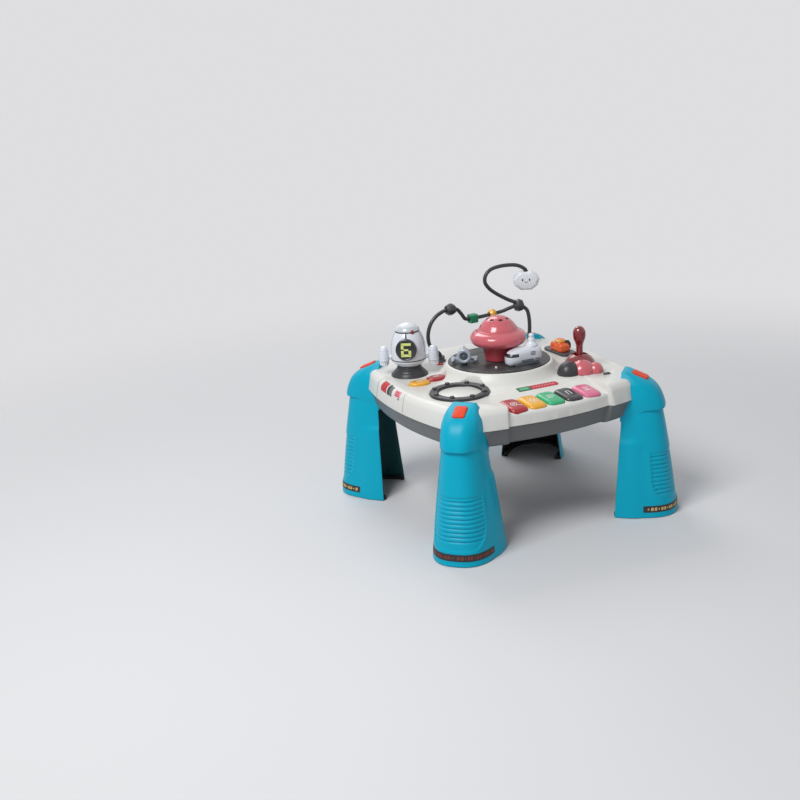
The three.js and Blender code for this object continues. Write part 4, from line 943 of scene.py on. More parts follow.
band = {"reach": 0.86, "low": 9.6, "high": 20.4, "columns": 72, "marks": 26, "markReach": 0.68, "lean": 0.006}


def bandMeshes():  # the dark strip round the foot, and its row of marks
    def onSkin(share, height, proud):
        rise = height / leg["neckHeight"]
        inner = leg["footInner"] + (leg["neckInner"] - leg["footInner"]) * rise
        outer = leg["footOuter"] + (leg["neckOuter"] - leg["footOuter"]) * rise
        outer += leg["swell"] * math.sin(math.pi * rise)
        half = leg["footHalf"] + (leg["neckHalf"] - leg["footHalf"]) * rise
        x, y = legPoint(share * math.pi / 2, inner, outer, half)
        factor = 1 + proud / half
        return inner + (x - inner) * factor, y * factor, height

    strip = []
    for height in (band["low"], (band["low"] + band["high"]) / 2, band["high"]):
        reach = band["reach"] + 0.02 * (height - 15) / 5
        strip.append([onSkin(reach * (2 * column / band["columns"] - 1), height, 0.25)
                      for column in range(band["columns"] + 1)])
    marks = []
    for mark in range(band["marks"]):
        middle = band["markReach"] * (2 * mark / (band["marks"] - 1) - 1)
        low, high, width = (12.5, 17.5, 0.019) if mark % 3 else (13.6, 16.4, 0.01)
        marks.append(sheetOf([[onSkin(middle + lean + side * width, height, 0.5) for side in (-1, 1)]
                              for height, lean in ((low, 0), (high, band["lean"]))]))
    return sheetOf(strip), joined(marks)


def footPad():  # a rubber strip inside the wall, with a round stud at each end
    inner, outer, half = leg["footInner"], leg["footOuter"], leg["footHalf"]
    section = ((3.0, 6), (3.0, 0.6), (3.6, 0), (6.4, 0), (7.0, 0.6), (7.0, 6))  # inset and height
    sections = []
    for column in range(61):
        x, y = legPoint(math.pi * column / 60 - math.pi / 2, inner, outer, half)
        sections.append([(inner + (x - inner) * (1 - inset / half), y * (1 - inset / half), height)
                         for inset, height in section])
    studs = [spun([(0, 0), (3.4, 0), (3.4, 8), (0, 8)], 1.8, 28, (201.6, side * 48.6)) for side in (-1, 1)]
    return joined([loft(sections), *studs])


def onCorner(name, place, mesh, finish, stands="", body="leg", **more):  # a turned copy of a leg's piece
    copy = moved(mesh.copy(), turn(leg["headings"][place]))
    nodesReplaced = (stands + "_" + place,) if stands else ()
    return dress(name + "_" + place, copy, finish, place + "_" + body, nodesReplaced, **more)


def buildLegs():
    skin = legSkinMesh()
    cap = carve(capMesh(), [ontoSlope(prism(latchOutline(-leg["latchGap"]), -14, 8))])
    rail = prism(railOutline(*leg["rail"]), 158.3, 219)
    capAndRail, latch, pad = joined([cap, rail]), latchMesh(), footPad()
    strip, marks = bandMeshes()
    for place in leg["headings"]:
        # the inner wall gets painted shade: near-black on the far leg, dark teal on the others
        inside = "legShade" if place == "far" else "legInside"
        shell = onCorner("leg_shell", place, skin, ["legBlue", inside], "leg", bevel=0.9, angle=55,
                         thickness=leg["wall"])
        onCorner("leg_cap", place, capAndRail, "legBlue", bevel=0.5, angle=34)
        onCorner("leg_band", place, strip, "printBlack", angle=60, thickness=0.5)
        markFinish = "printGold" if place in ("right", "left") else "printRust"
        onCorner("leg_marks", place, marks, markFinish, angle=60, thickness=0.3)
        onCorner("foot_strip", place, pad, "footRubber", "leg_foot", angle=40)
        onCorner("latch_pad", place, latch, "latchOrange", "leg_latch", "latch", angle=40)


buildTopShell()
buildBottomShell()
buildDeckPrints()
print("table top built")
buildLegs()
print("legs built")


# keys and buttons

def ringDecal(radius, width):
    inner, outer = radius - width / 2, radius + width / 2
    return lathe([(inner, 0), (outer, 0), (outer, 0.3), (inner, 0.3), (inner, 0)], 40)


def barDecal(length, width, x, y, degrees=0.0):
    outline = roundBox(length, width, min(length, width) * 0.45, 3)
    return moved(prism(outline, 0, 0.3), shift(x, y) @ turn(degrees))


rays = [math.pi * ray / 4 for ray in range(8)]
sunBars = [(3.4, 1.1, 7.4 * math.cos(ray), 7.4 * math.sin(ray), math.degrees(ray)) for ray in rays]
keyFigures = {  # rings by radius and width, bars by length, width, place and turn
    "red": (((5, 1.2), (1.6, 1.0)), ((7, 1.1, 8, -6, -35),)),
    "yellow": (((4, 1.2),), sunBars),
    "green": ((), ((14, 1.3, 0, 4), (14, 1.3, 0, 0), (9, 1.3, -2.5, -4))),
    "black": ((), ((12, 1.3, -3, 0, 90), (12, 1.3, 3, 0, 90), (6, 1.3, 0, 6))),
    "pink": (((2.4, 1.0),), ((10, 1.2, 0, 5), (12, 1.2, 0, -4))),
}


def keyTop(inset):
    return grown(keyOutline(0), 1 - 2 * inset / keys["width"], 1 - 2 * inset / keys["length"])


def buildKeys():
    levels = ((0, -9), (0, 0.9), (0.25, 1.7), (0.9, 2.6), (2.0, 3.4), (3.6, 3.95), (5.8, 4.3), (8.6, 4.46),
              (11.5, keys["rise"]))
    for index, (name, finish) in enumerate(keys["finishes"].items()):
        x, y = keyPlace(index)
        dress("key_cap_" + name, moved(stack(keyTop, levels), ontoBayFloor(x, y)), finish, name + "_key",
              ("key_" + name,), angle=50)
        hoops, bars = keyFigures[name]
        figure = joined([ringDecal(*one) for one in hoops] + [barDecal(*one) for one in bars])
        onTop = ontoBayFloor(x, y, keys["rise"] - 0.14)
        dress("key_print_" + name, moved(figure, onTop), "printWhite", name + "_key")


def buildButtons():
    for name, (x, y, length, width, degrees, rise, finish) in buttons.items():
        rings = [atHeight(oval(length, width, degrees), 216)]
        for cosine, sine in quarter():
            inset = min(length, width) * 0.42 * (1 - cosine)
            height = table["deck"] + rise * 0.35 + rise * 0.65 * sine
            rings.append(atHeight(oval(length - inset, width - inset, degrees), height))
        dress("button_pad_" + name, moved(loft(rings), shift(x, y)), finish, name + "_button",
              ("button_" + name,), angle=60)
        if name != "small":
            bars = joined([barDecal(9, 1.1, 0, 2.2), barDecal(12, 1.1, 0, 0), barDecal(7, 1.1, 0, -2.2)])
            place = shift(x, y, table["deck"] + rise - 0.15) @ turn(degrees)
            dress("button_print_" + name, moved(bars, place), "printWhite", name + "_button")


buildKeys()
buildButtons()
print("keys and buttons built")


# ring spinner

def buildRing():
    band = hoop([(35, 226.3), (47.5, 226.3), (47.5, 232.3), (35, 232.3)], 2.2, 5, 96)
    knob = spun([(0, 227.8), (4, 227.8), (4, 235.3), (0, 235.3)], 1.8, 24, steps=6)
    knobs = ringRow(knob, ringSpinner["knobs"], ringSpinner["knobRing"], "playBlack")
    dress("ring_hoop", moved(joined([band, knobs]), shift(*ringSpinner["place"])), "playBlack", "ring",
          ("ring_spinner",), angle=60)


buildRing()


# turntable and what rides on it

shuttle = {
    "noseX": -15.0, "y": -49.0, "base": table["onDisc"], "length": 62.0, "half": 13.0, "height": 28.0,
    "mastX": 49.0, "visorLow": 15.2, "visorHigh": 20.6, "visorStart": -14.0, "visorLength": 32.0,
    "visorCorner": 2.6,
    "lines": ((38, 20.4, 9), (38, 18, 9), (38, 15.6, 9), (27, 8.6, 22), (27, 6.4, 22), (46, 8, 7)),
}
plane = {"x": -58.0, "y": 13.0, "height": 262.3, "heading": -121.0, "blades": 9, "bladeRing": 4.4}


def shuttleMesh(grow=0.0):
    shares = ((0, .2, .2, .5), (0.01, .38, .14, .58), (0.035, .58, .07, .67), (0.07, .74, .02, .75),
              (0.11, .86, 0, .81), (0.16, .94, 0, .86), (0.22, .99, 0, .9), (0.3, 1, 0, .93),
              (0.38, .98, 0, .96), (0.46, .96, .02, .98), (0.54, .97, .03, 1), (0.66, .99, .03, 1.03),
              (0.8, .99, .03, 1.04), (0.9, .98, .04, 1.03), (0.96, .93, .06, 1), (1, .8, .1, .9))
    rings = []
    for share, width, low, high in shares:
        half = shuttle["half"] * width + grow
        bottom, top = shuttle["height"] * low - grow, shuttle["height"] * high + grow
        outline = roundBox(2 * half, top - bottom, min(half, (top - bottom) / 2) * 0.76, 8)
        rings.append([(share * shuttle["length"], y, z + (top + bottom) / 2) for y, z in outline])
    return loft(rings)


def buildShuttle():
    place = shift(shuttle["noseX"], shuttle["y"], shuttle["base"])
    long = shuttle["visorLength"]
    zone = prism(roundBox(long, 60, shuttle["visorCorner"]), shuttle["visorLow"], shuttle["visorHigh"])
    zone = moved(zone, shift(shuttle["visorStart"] + long / 2, 0))
    visor = carve(shuttleMesh(-0.7), [zone.copy()], "INTERSECT")
    hull = tidyMesh(carve(shuttleMesh(), [zone]), 0.3)
    dress("shuttle_hull", moved(hull, place), "rocketPearl", "turntable", ("shuttle_body",), 0.5, 40)
    dress("shuttle_glass", moved(visor, place), "keyBlack", "turntable", ("shuttle_visor",), angle=40)
    mast = spun([(0, 27), (10.6, 27), (10.2, 29.6), (7.6, 32.2), (5.9, 35), (5.4, 39.8), (4.2, 40.8),
                 (4.1, 42.4), (4.6, 43.6), (4.4, 46.4), (2.6, 47.8), (0, 48)], 1.0, 32)
    dress("shuttle_mast_turned", moved(mast, place @ shift(shuttle["mastX"], 0)), "rocketPearl",
          "turntable", ("shuttle_mast",), angle=50)
    stripes = []
    for side in (-1, 1):
        for x, z, reach in shuttle["lines"]:
            stripes.append(moved(prism(roundBox(reach, 1.3, 0.5, 3), 0, 0.3),
                                 shift(x + 6, side * 12.75, z) @ turn(90 * side, "X") @ turn(180, "X")))
    dress("shuttle_stripes", moved(joined(stripes), place), "panelLine", "turntable")
    for name, side in (("right", -1), ("left", 1)):
        skirt = moved(prism(roundBox(44, 3, 1.2, 4), 0.5, 4), place @ shift(33, side * 11.6))
        dress("shuttle_skirt_" + name, skirt, "panelLine", "turntable")


def buildPlane():
    place = shift(plane["x"], plane["y"], plane["height"]) @ turn(plane["heading"]) @ turn(90, "Y")
    hull = nodes["plane_body"].data.copy()
    hull.materials.clear()
    intake = moved(bore(7.4, 12.2, 30, 40), place)
    dress("plane_hull", carve(tidyMesh(hull, 0.6), [intake]), "planeSilver", "turntable",
          ("plane_body",), 0.8, 25)
    cowl = hoop([(6.5, 8), (12, 8), (12, 17), (6.5, 17)], 2.4, 6, 56)
    dress("plane_cowl", moved(cowl, place), "planeSilver", "turntable", ("plane_engine",), angle=45)
    hub = spun([(0, 13), (2.2, 13), (2.0, 15.4), (0, 16.4)], 0.9, 24)
    blade = prism(roundBox(4.6, 1.2, 0.4, 3), 13.4, 14.9)
    blades = ringRow(blade, plane["blades"], plane["bladeRing"], "planeSilver")
    dress("plane_fan", moved(joined([hub, blades]), place), "panelLine", "turntable")
    # painted shade: a dark disc across the intake stands in for the shadow deep in the recessed engine
    intakeShadeDisc = spun([(0, 12.6), (7.0, 12.6), (7.0, 14.2), (0, 14.2)], 0.4, 40)
    dress("plane_core", moved(intakeShadeDisc, place), "engineDark", "turntable")


def buildTurntable():
    disc = [(8.3, 243.3), (84.5, 243.3), (84.5, 247), (81.5, 247), (81.0, 246.6), (80.4, 246.6), (80.0, 247),
            (50, 247), (49.6, 246.7), (49.0, 246.7), (48.6, 247), (8.3, 247)]
    dress("disc_turned", hoop(disc, 0.5, 3, 128), "discBlack", "turntable", ("turntable_disc",), angle=30)
    stud = spun([(0, 246.6), (2.2, 246.6), (2.0, 249.5), (0, 250)], 0.8, 24)
    dress("disc_stud", moved(stud, shift(-32, -46)), "rocketPearl", "turntable")
    softCopy("turntable_spindle", "spindle_turned", "shaftSteel", "turntable", 0.3)
    buildShuttle()
    buildPlane()


buildTurntable()
print("turntable built")


# saucer

saucer = {"holes": 7, "holeRing": 16.6, "holeLength": 2.4, "holeWidth": 3.9, "domeFall": 0.66}


def buildSaucer():
    low = table["onDisc"]
    base = [(8.3, low), (21.5, low), (22.6, 248.2), (24.5, 258), (27.3, 270.4), (27.5, 271), (9, 271),
            (8.3, 264.3)]
    dress("saucer_foot", hoop(base, 0.8, 3, 96), "saucerDeep", "saucer", ("saucer_base",), angle=40)
    brim = smoothLine([(27.5, 271.3), (33.5, 271.8), (39, 273.7), (43.2, 276.7), (45.8, 280.5),
                       (46.6, 284.6), (45.9, 288.5), (43.9, 291.7), (40.6, 294.4), (36.6, 296.4),
                       (33.8, 298.7)], 5)
    dress("saucer_brim", lathe([(0, 271.3), *brim, (0, 298.7)], 112), "saucerPink", "saucer",
          ("saucer_rim",), angle=60)
    side = smoothLine([(32.4, 299), (31.2, 301.6), (29.0, 305.0), (26.4, 308.6)], 4)
    crown = smoothLine([(25.9, 308.9), (22.4, 312.8), (17.6, 316.4), (10.8, 319.6), (4.8, 320.8),
                        (0.01, 321)], 5)
    shell = lathe([(0, 299), *side, *crown, (0, 321)], 112)
    length, width = saucer["holeLength"], saucer["holeWidth"]
    hole = oval(length, width, 0, 24)
    pit = loft([atHeight(hole, 308), atHeight(oval(length + 0.2, width + 0.3, 0, 24), 328)])
    shell = carve(shell, [ringRow(pit, saucer["holes"], saucer["holeRing"], "saucerPink")])
    dress("saucer_crown", tidyMesh(shell, 0.2), "saucerPink", "saucer", ("saucer_dome",), 0.35, 38)
    floor = [(x, y, 316.0 - saucer["domeFall"] * x)  # it slopes with the dome
             for x, y in oval(length + 0.05, width + 0.05, 0, 24)]
    # painted shade: each hole is floored with a dark plug that stands in for the shadow inside it
    shadePlug = loft([atHeight(hole, 308.2), floor])
    dress("saucer_pits", ringRow(shadePlug, saucer["holes"], saucer["holeRing"], "pitDark"), "pitDark", "saucer")


buildSaucer()
print("saucer built")


# rocket, made facing -Y and turned to its place

rocket = {
    "x": -133.0, "y": 69.0, "turn": -33.0, "faceHeight": 277.0, "faceTilt": 7.0,
    "boosterX": 41.5, "boosterRibs": 14, "ribRing": 7.3, "display": 17.5, "displayGap": 0.4,
    "socket": 9.4, "strut": 3.2, "strutHeight": 259.0,
    "patches": (  # name, finish, thickness, first and last angle, low, high, proud, columns, rows
        ("pane", "windowGrey", 0.4, -58, 60, 305.4, 312.4, 0.12, 30, 10),
        ("sill", "seamDark", 0.5, -76, 74, 302.9, 305.0, 0.25, 40, 4),
        ("line", "seamDark", 0.3, -3, 3, 293.5, 303, 0.1, 2, 12),
        ("seam_left", "panelLine", 0.25, -73.2, -70.8, 268, 302, 0.08, 1, 16),
        ("seam_right", "panelLine", 0.25, 72.8, 75.2, 268, 302, 0.08, 1, 16),
        # painted shade: a dark ring laid over the hull's belt groove stands in for the shadow in it
        ("belt", "seamDark", 0.3, -180, 180, 256.2, 257.5, 0.05, 96, 1)),
    "segments": ((-6.2, 4.9, 4.4, 7.6), (-6.2, -4.9, 4.4, 7.6), (6.2, -4.9, 4.4, 7.6), (0, 9.2, 16.4, 4.2),
                 (0, 0, 7.6, 3.2), (0, -9.2, 16.4, 4.2)),
}
rocketFace = shift(0, -24.0, rocket["faceHeight"]) @ turn(90 - rocket["faceTilt"], "X")
rocketPlace = shift(rocket["x"], rocket["y"]) @ turn(rocket["turn"])


def rocketRadius(height):
    if height < 257:
        return 21 + 8.2 * math.sin(math.pi / 2 * max(0.0, (height - 246.7) / 10.3))
    if height < 274:
        return 29.2
    if height <= 303:
        return 29.2 - 8.7 * ((height - 274) / 29) ** 1.9
    return 20.5 * math.sqrt(max(0.0, 1 - ((height - 303) / 14.5) ** 1.9))


def skinPatch(first, last, low, high, proud, columns, rows):
    patch = []
    for height in spread(low, high, rows):
        around = arc(rocketRadius(height) + proud, first - 90, last - 90, columns)
        patch.append(atHeight(around, height))
    return sheetOf(patch)


def onRocket(name, mesh, finish, stands=(), **more):
    dress("rocket_" + name, moved(mesh, rocketPlace), finish, "rocket", stands, **more)


def buildRocketHull():
    heights = [247.3 + 0.9 * step for step in range(10)] + [260 + 2.5 * step for step in range(17)] + [302.7]
    skin = [(rocketRadius(height), height) for height in heights]
    groove = [(28.9, 256.0), (28.3, 256.4), (28.3, 257.5), (29.2, 257.9)]
    hull = lathe([(0, 246.7), (21, 246.7), *skin[:10], *groove, *skin[10:], (0, 302.7)], 112)
    strut = moved(bore(rocket["strut"], -41, 41, 24), shift(0, 0, rocket["strutHeight"]) @ turn(90, "Y"))
    display = moved(bore(rocket["display"] + rocket["displayGap"], -0.3, 11, 64), rocketFace)
    sockets = [bore(rocket["socket"], 244.7, 278.4, 40, (side * rocket["boosterX"], 0)) for side in (-1, 1)]
    hull = carve(carve(hull, [strut], "UNION"), [display, *sockets])
    onRocket("hull", tidyMesh(hull, 0.2), "rocketPearl", ("rocket_body",), bevel=0.3, angle=34)


def buildRocket():
    low = table["onDeck"]
    foot = spun([(0, low), (31, low), (31.0, 229.4), (30.0, 231.0), (28.8, 231.6), (28.0, 233.2),
                 (26.2, 235.0), (25.0, 235.6), (24.2, 237.2), (22.4, 238.8), (21.4, 239.2), (20.8, 240.8),
                 (20.4, 243.0), (19.6, 243.6), (19.2, 245.6), (19, 246.4), (0, 246.4)], 0.9, 72, steps=3)
    dress("rocket_bellows", moved(foot, rocketPlace), "playBlack", "housing", ("rocket_base",), angle=50)
    buildRocketHull()
    heights = [304, 305.5, 307, 308.5, 310, 311.5, 313, 314.3, 315.4, 316.3, 317, 317.4]
    crown = [(0, 303), (20.5, 303), *((rocketRadius(height), height) for height in heights), (0, 317.5)]
    onRocket("crown", lathe(crown, 96), "rocketPearl", ("rocket_nose",), angle=40)
    for name, finish, thickness, *shape in rocket["patches"]:
        onRocket(name, skinPatch(*shape), finish, angle=60, thickness=thickness)
        if name == "sill":
            lamp = spun([(0, -2), (3.6, -2), (3.6, 0.6), (2.7, 1.8), (0, 2.2)], 0.7, 24)
            onRocket("lamp", moved(lamp, turn(31) @ shift(0, -20.0, 304.4) @ turn(78, "X")), "leverCrimson")
    edge = rocket["display"]
    plate = spun([(0, 0), (edge, 0), (edge, 5.6), (16.2, 6.2), (15.4, 5.7), (0, 5.7)], 0.4, 72, steps=3)
    onRocket("display_disc", moved(plate, rocketFace), "keyBlack", ("rocket_display",), angle=35)
    bars = [moved(prism(roundBox(length, width, 0.5, 3), 5.5, 5.95), shift(x, y))
            for x, y, length, width in rocket["segments"]]
    onRocket("display_bars", moved(joined(bars), rocketFace), "displayLime")


def buildBoosters():
    for side, name in ((-1, "left"), (1, "right")):
        tank = spun([(0, 245.1), (7.0, 245.1), (7.3, 246), (7.5, 252.2), (8.6, 252.6), (9.0, 253.6),
                     (8.9, 255.6), (8.5, 256), (8.5, 256.6), (8.8, 257), (7.9, 268.6), (7.5, 269.4),
                     (7.5, 270.2), (7.7, 270.8), (7.2, 273), (0, 273.4)], 0.5, 48, steps=3)
        lid = spun([(0, 273), (6.4, 273), (6.0, 275), (4.4, 277), (0, 277.9)], 0.6, 32, steps=3)
        rib = prism(roundBox(1.2, 1.2, 0.3, 2), 246.2, 252.2)
        ribs = ringRow(rib, rocket["boosterRibs"], rocket["ribRing"], "rocketPearl")
        whole = moved(joined([tank, lid, ribs]), shift(side * rocket["boosterX"], 0))
        onRocket("tank_" + name, whole, "rocketPearl", ("rocket_booster_" + name,), angle=36)


buildRocket()
buildBoosters()
print("rocket built")


# lever corner

lever = {
    "x": 108.0, "y": -78.0, "pivot": 243.0, "ball": 8.5, "socket": 8.9, "gap": 0.3,
    "guard": (28, 28.5), "slot": (23, 17.8, 3),  # the domes below: x, y, radius and height
    "knoll": (77, -91, 18.5, 21), "hill": (101, -96, 21, 21), "bump": (119, -107, 13.5, 16),
}


def domeMesh(x, y, radius, height, grow=0.0, segments=64):
    low = table["onDeck"]
    flank = [((radius + grow) * cosine, low + (height + grow) * sine) for cosine, sine in quarter(16)]
    return lathe([(0, low), *flank], segments, (x, y))


def buildLever():
    hill, place = moundMesh(lever["gap"], 222.0), shift(lever["x"], lever["y"], lever["pivot"])
    socket = lathe(arc(lever["socket"], -90, 90, 24), 40)
    around = (lever["x"], lever["y"], *lever["guard"])
    cutters = [moved(socket, place), moved(prism(roundBox(*lever["slot"]), 0, 30), place), hill.copy()]
    guard = carve(domeMesh(*around, 0, 80), cutters)
    dress("lever_shield", tidyMesh(guard, 0.2), "leverCrimson", "housing", ("lever_guard",), 0.4, 38)
    base = carve(domeMesh(*lever["hill"]), [domeMesh(*lever["bump"])], "UNION")
    base = carve(base, [domeMesh(*around, lever["gap"], 80), domeMesh(*lever["knoll"], lever["gap"])])
    dress("lever_hills", tidyMesh(base, 0.2), "saucerPink", "housing", ("lever_base",), 0.4, 38)
    knoll = carve(domeMesh(*lever["knoll"]), [domeMesh(*around, lever["gap"], 80), hill])
    dress("lever_knoll", tidyMesh(knoll, 0.2), "playBlack", "housing", ("lever_dome",), 0.4, 38)
    ball = arc(lever["ball"], -90, 64.8, 14)[:13]  # the shaft starts where it has narrowed
    shaft = smoothLine([(5.6, 6.6), (5.9, 9), (5.6, 14), (5.4, 20), (5.7, 25.5), (7.2, 31), (9.5, 37),
                        (10.4, 43.5), (9.8, 50), (7.0, 55.2), (3.4, 57.6)], 4)
    dress("lever_handle", moved(lathe([*ball, *shaft, (0, 58.0)], 56), place), "leverCrimson", "lever",
          ("lever_stick",), angle=50)


buildLever()
print("lever built")


# car, track and power switch

car = {"x": 141.0, "y": 32.0, "low": 232.6, "spokes": 6}


def buildCar():
    x, y, low = car["x"], car["y"], car["low"]
    softCopy("slider_track", "track_plate", "playBlack", "housing", 0.6)
    softCopy("slider_car", "car_moulding", "carOrange", "car", 0.9, 24)
    roof = stack(lambda inset: roundBox(15.6 - 2 * inset, 16.2 - 2 * inset, max(4.4 - inset, 1)),
                 ((0, 15.0), (0, 17.6), (0.5, 18.6), (1.5, 19.1), (3, 19.3)))
    dress("car_roof", moved(roof, shift(x, y, low - 0.6)), "sunYellow", "car")
    glass = loft([atHeight(roundBox(16.4, 13.2, 3.6), 12.6), atHeight(roundBox(15.2, 12.2, 3.4), 15.2)])
    dress("car_glass", moved(glass, shift(x, y, low)), "keyBlack", "car")
    tyre = spun([(0, 0.3), (5.2, 0.3), (5.6, 0), (8, 0), (8, 5), (5.4, 5), (5.0, 4.2), (2.2, 4.2),
                 (2.0, 4.9), (0, 4.9)], 0.7, 56)
    spokes = ringRow(prism(roundBox(2.4, 0.8, 0.3, 2), 3.9, 4.7), car["spokes"], 3.6, "playBlack")
    place = shift(x + 6.6, y - 9, low + 8.9) @ turn(90, "Y")
    dress("car_tyre", moved(joined([tyre, spokes]), place), "footRubber", "car_wheel", ("slider_wheel",))
    softCopy("power_switch", "power_slide_knob", "playBlack", "power", 0.5)


buildCar()


# bead arch

arch = {"middleX": 18.0, "halfSpan": 95.0, "y": 105.0, "lean": 23.0, "rise": 90.0, "radius": 3.3}
archRoutes = {  # share of the half span, of the lean and of the rise
    "left": ((-0.758, -0.174, 0.033), (-0.758, -0.174, 0.133), (-0.842, -0.13, 0.222),
             (-0.968, -0.043, 0.356), (-1, 0, 0.556), (-0.937, 0, 0.767), (-0.821, 0, 0.9),
             (-0.653, 0, 0.983), (-0.526, 0, 0.989), (-0.4, 0, 0.972), (-0.305, 0, 0.867),
             (-0.232, 0, 0.761), (-0.147, 0, 0.744), (0, 0, 0.744), (0.168, 0, 0.75), (0.253, 0, 0.756),
             (0.421, 0, 0.767), (0.547, 0.087, 0.789), (0.653, 0.261, 0.833), (0.747, 0.457, 0.872)),
    "right": ((0.968, 1, 0.033), (0.968, 1, 0.267), (0.979, 1, 0.467), (0.979, 0.935, 0.644),
              (0.958, 0.826, 0.778), (0.905, 0.696, 0.844)),
    "swan": [(along, 0.565, rise) for along, rise in (
        (0.747, 0.956), (0.632, 1.011), (0.484, 1.1), (0.337, 1.2), (0.211, 1.311), (0.132, 1.444),
        (0.158, 1.578), (0.263, 1.667), (0.432, 1.7), (0.621, 1.7), (0.8, 1.672), (0.926, 1.611),
        (0.995, 1.544), (0.995, 1.456))],
}


def archPoint(along, lean, rise):
    return (arch["middleX"] + arch["halfSpan"] * along, arch["y"] - arch["lean"] * lean,
            table["deck"] + arch["rise"] * rise)


def centripetalLine(points, steps=6):
    points = [Vector(point) for point in points]
    ends = [points[0] * 2 - points[1], *points, points[-1] * 2 - points[-2]]

    def blend(p, q, start, end, t):
        return p * ((end - t) / (end - start)) + q * ((t - start) / (end - start))

    line = []
    for index in range(1, len(ends) - 2):
        p0, p1, p2, p3 = ends[index - 1:index + 3]
        t1 = math.sqrt((p1 - p0).length)
        t2 = t1 + math.sqrt((p2 - p1).length)
        t3 = t2 + math.sqrt((p3 - p2).length)
        for step in range(steps):
            t = t1 + (t2 - t1) * step / steps
            middle = blend(p1, p2, t1, t2, t)
            line.append(blend(blend(blend(p0, p1, 0.0, t1, t), middle, 0.0, t2, t),
                              blend(middle, blend(p2, p3, t2, t3, t), t1, t3, t), t1, t2, t))
    return [*line, points[-1]]


def buildArch():
    for name, route in archRoutes.items():
        line = centripetalLine([archPoint(*share) for share in route])
        seed = meshOf(line, [], [(k, k + 1) for k in range(len(line) - 1)])
        sizes = {"Tube Radius": arch["radius"] * mm, "Sides": 20, "Finish": finishes["tubeBlack"]}
        dress("arch_%s_bend" % name, tidyMesh(growMesh(bentTube, sizes, seed)), "tubeBlack", "housing",
              ("arch_%s_tube" % name,), angle=50)
    low = table["onDeck"]
    collar = [(3.8, low), (11, low), (11, 228.9), (8, 231.6), (8, 237.3), (3.8, 237.3), (3.8, 230.8)]
    for name in ("left", "right"):
        foot = archPoint(*archRoutes[name][0])[:2]
        dress("arch_collar_" + name, hoop(collar, 0.9, 4, 48, foot), "tubeBlack", "housing",
              ("arch_%s_socket" % name,), angle=40)
    softCopy("arch_connector", "arch_joint", "tubeBlack", "housing", 1.0, 22)


charm = {"place": (112.525, 92.005, 349.5), "turn": -30, "eyes": 6, "eyeHeight": 2.4}


def buildBeads():
    softCopy("bead_black", "bead_faceted", "tubeBlack", "black_bead", 0.3, 18)
    softCopy("bead_green", "bead_cube", "beadGreen", "green_bead", 0.5, 24)
    softCopy("bead_yellow", "bead_round", "sunYellow", "yellow_bead", 0.8, 24)
    softCopy("cloud_charm", "charm_cloud", "charmWhite", "charm", 1.0, 24)
    smile = [(-3.2, -0.6), (-1.8, -2.0), (0, -2.5), (1.8, -2.0), (3.2, -0.6), (2.8, -0.1), (1.5, -1.2),
             (0, -1.6), (-1.5, -1.2), (-2.8, -0.1)]
    eyes = [[(side * charm["eyes"] + x, charm["eyeHeight"] + z) for x, z in oval(1.3, 2.2, 0, 20)]
            for side in (-1, 1)]
    marks = [loft([[(x, y, z) for x, z in outline] for y in (-9.35, -9.75)]) for outline in (*eyes, smile)]
    place = shift(*charm["place"]) @ turn(charm["turn"])
    dress("charm_marks", moved(joined(marks), place), "printBlack", "charm")


buildArch()
buildBeads()
print("arch and beads built")


# pieces that keep their solids and take a finish

for node, finish in {"circuit_board": "boardGreen", "speaker": "playBlack"}.items():
    solid = nodes[node]
    solid.data.materials.clear()
    solid.data.materials.append(finishes[finish])
softCopy("battery_door", "door_plate", "bellyGrey", "housing", 0.4)
print("carried-over solids dressed")


# studio

studio = {
    "floorColour": sRgb(222, 222, 224), "backdrop": sRgb(222, 222, 225), "worldStrength": 0.3,
    "worldColour": (0.95, 0.97, 1.0, 1.0), "fadeFrom": 0.55, "fadeTo": 1.7, "aim": (0, 0, 0.15),
    "lamps": ((-1.45, -0.7, 2.0, 39.0, 1.0), (1.5, -0.9, 1.3, 1.2, 1.3), (0.2, 1.7, 1.9, 16.0, 1.2)),
}
camera = {
    "lens": 56.902, "sensor": 36.0, "place": (-1.01221, -1.76835, 0.80954),
    "right": (0.896717, -0.438717, -0.058525), "up": (0.179503, 0.239614, 0.95413),
    "back": (-0.40457, -0.86609, 0.293617),
}


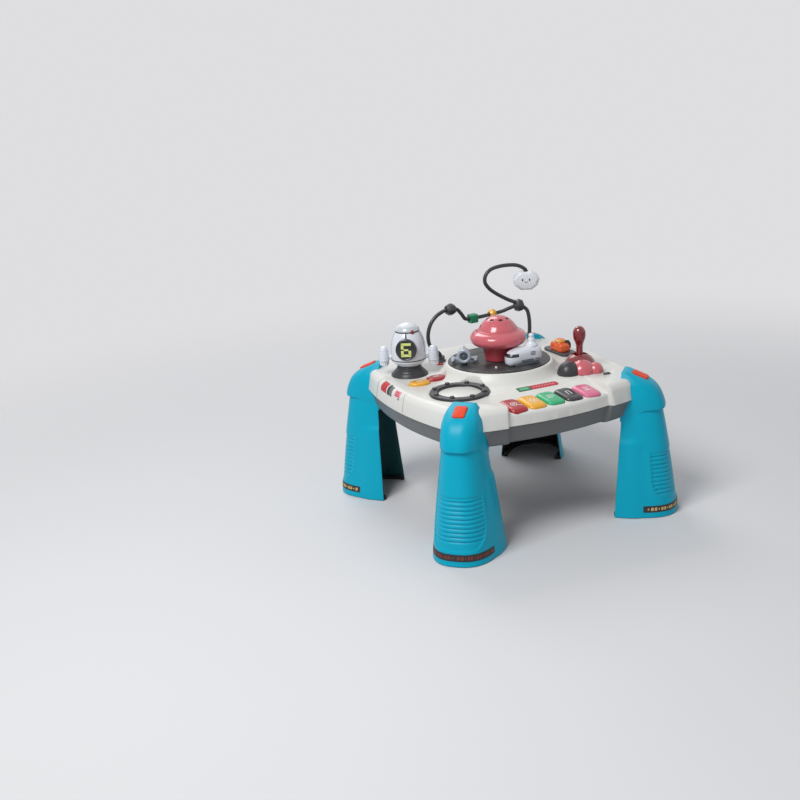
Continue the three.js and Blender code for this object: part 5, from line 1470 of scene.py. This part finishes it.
def buildFloor():
    material = newMaterial("studioFloor", studio["floorColour"])
    tree = material.node_tree
    shader = tree.nodes["Principled BSDF"]
    drift = placeGroup(tree, colourDrift,
                       {"Colour": studio["floorColour"], "Patch Scale": 2.0, "Drift": 0.02})
    feed(tree, shader.inputs["Base Color"], drift["Colour"])
    shader.inputs["Roughness"].default_value = 0.8
    spot = addNode(tree, "ShaderNodeTexCoord", out="Object")
    reach = addNode(tree, "ShaderNodeVectorMath", {0: spot}, "Value", operation="LENGTH")
    seenRay = addNode(tree, "ShaderNodeLightPath", out="Is Camera Ray")
    clear = fadeIn(reach, studio["fadeFrom"], studio["fadeTo"]) * seenRay
    blend = addNode(tree, "ShaderNodeMixShader", {0: clear, 1: Flow(tree, shader.outputs[0]),
                                                  2: addNode(tree, "ShaderNodeBsdfTransparent")})
    feed(tree, tree.nodes["Material Output"].inputs["Surface"], blend)
    floor = bpy.data.meshes.new("studio_floor")
    floor.from_pydata([(-9, -9, 0), (9, -9, 0), (9, 9, 0), (-9, 9, 0)], [], [(0, 1, 2, 3)])
    floor.materials.append(material)
    rawObject("studio_floor", floor)


def buildLight():
    world = bpy.data.worlds.new("studioWorld")
    world.use_nodes = True
    bpy.context.scene.world = world
    tree = world.node_tree
    light = tree.nodes["Background"]
    light.inputs["Color"].default_value = studio["worldColour"]
    light.inputs["Strength"].default_value = studio["worldStrength"]
    sky = addNode(tree, "ShaderNodeBackground", {"Color": studio["backdrop"]})
    rays = addNode(tree, "ShaderNodeLightPath", out=None)
    seen = calc("MAXIMUM", rays["Is Camera Ray"], rays["Is Transmission Ray"])
    seen = calc("MAXIMUM", seen, rays["Is Glossy Ray"])
    mixed = addNode(tree, "ShaderNodeMixShader", {0: seen, 1: Flow(tree, light.outputs[0]), 2: sky})
    feed(tree, tree.nodes["World Output"].inputs["Surface"], mixed)
    for number, (x, y, z, power, size) in enumerate(studio["lamps"]):
        lamp = bpy.data.lights.new("softbox_%d" % number, "AREA")
        lamp.energy = power
        lamp.size = size
        holder = rawObject("softbox_%d" % number, lamp)
        holder.location = (x, y, z)
        ray = Vector(studio["aim"]) - Vector((x, y, z))
        holder.rotation_euler = ray.to_track_quat("-Z", "Y").to_euler()


def buildCamera():
    view = bpy.data.cameras.new("carton_view")
    view.sensor_width = camera["sensor"]
    view.lens = camera["lens"]
    holder = rawObject("carton_view", view)
    axes = Matrix([Vector(camera[axis]) for axis in ("right", "up", "back")]).transposed().to_4x4()
    holder.matrix_world = Matrix.Translation(camera["place"]) @ axes
    bpy.context.scene.camera = holder


buildFloor()
buildLight()
buildCamera()
bpy.context.scene.view_settings.view_transform = "Standard"
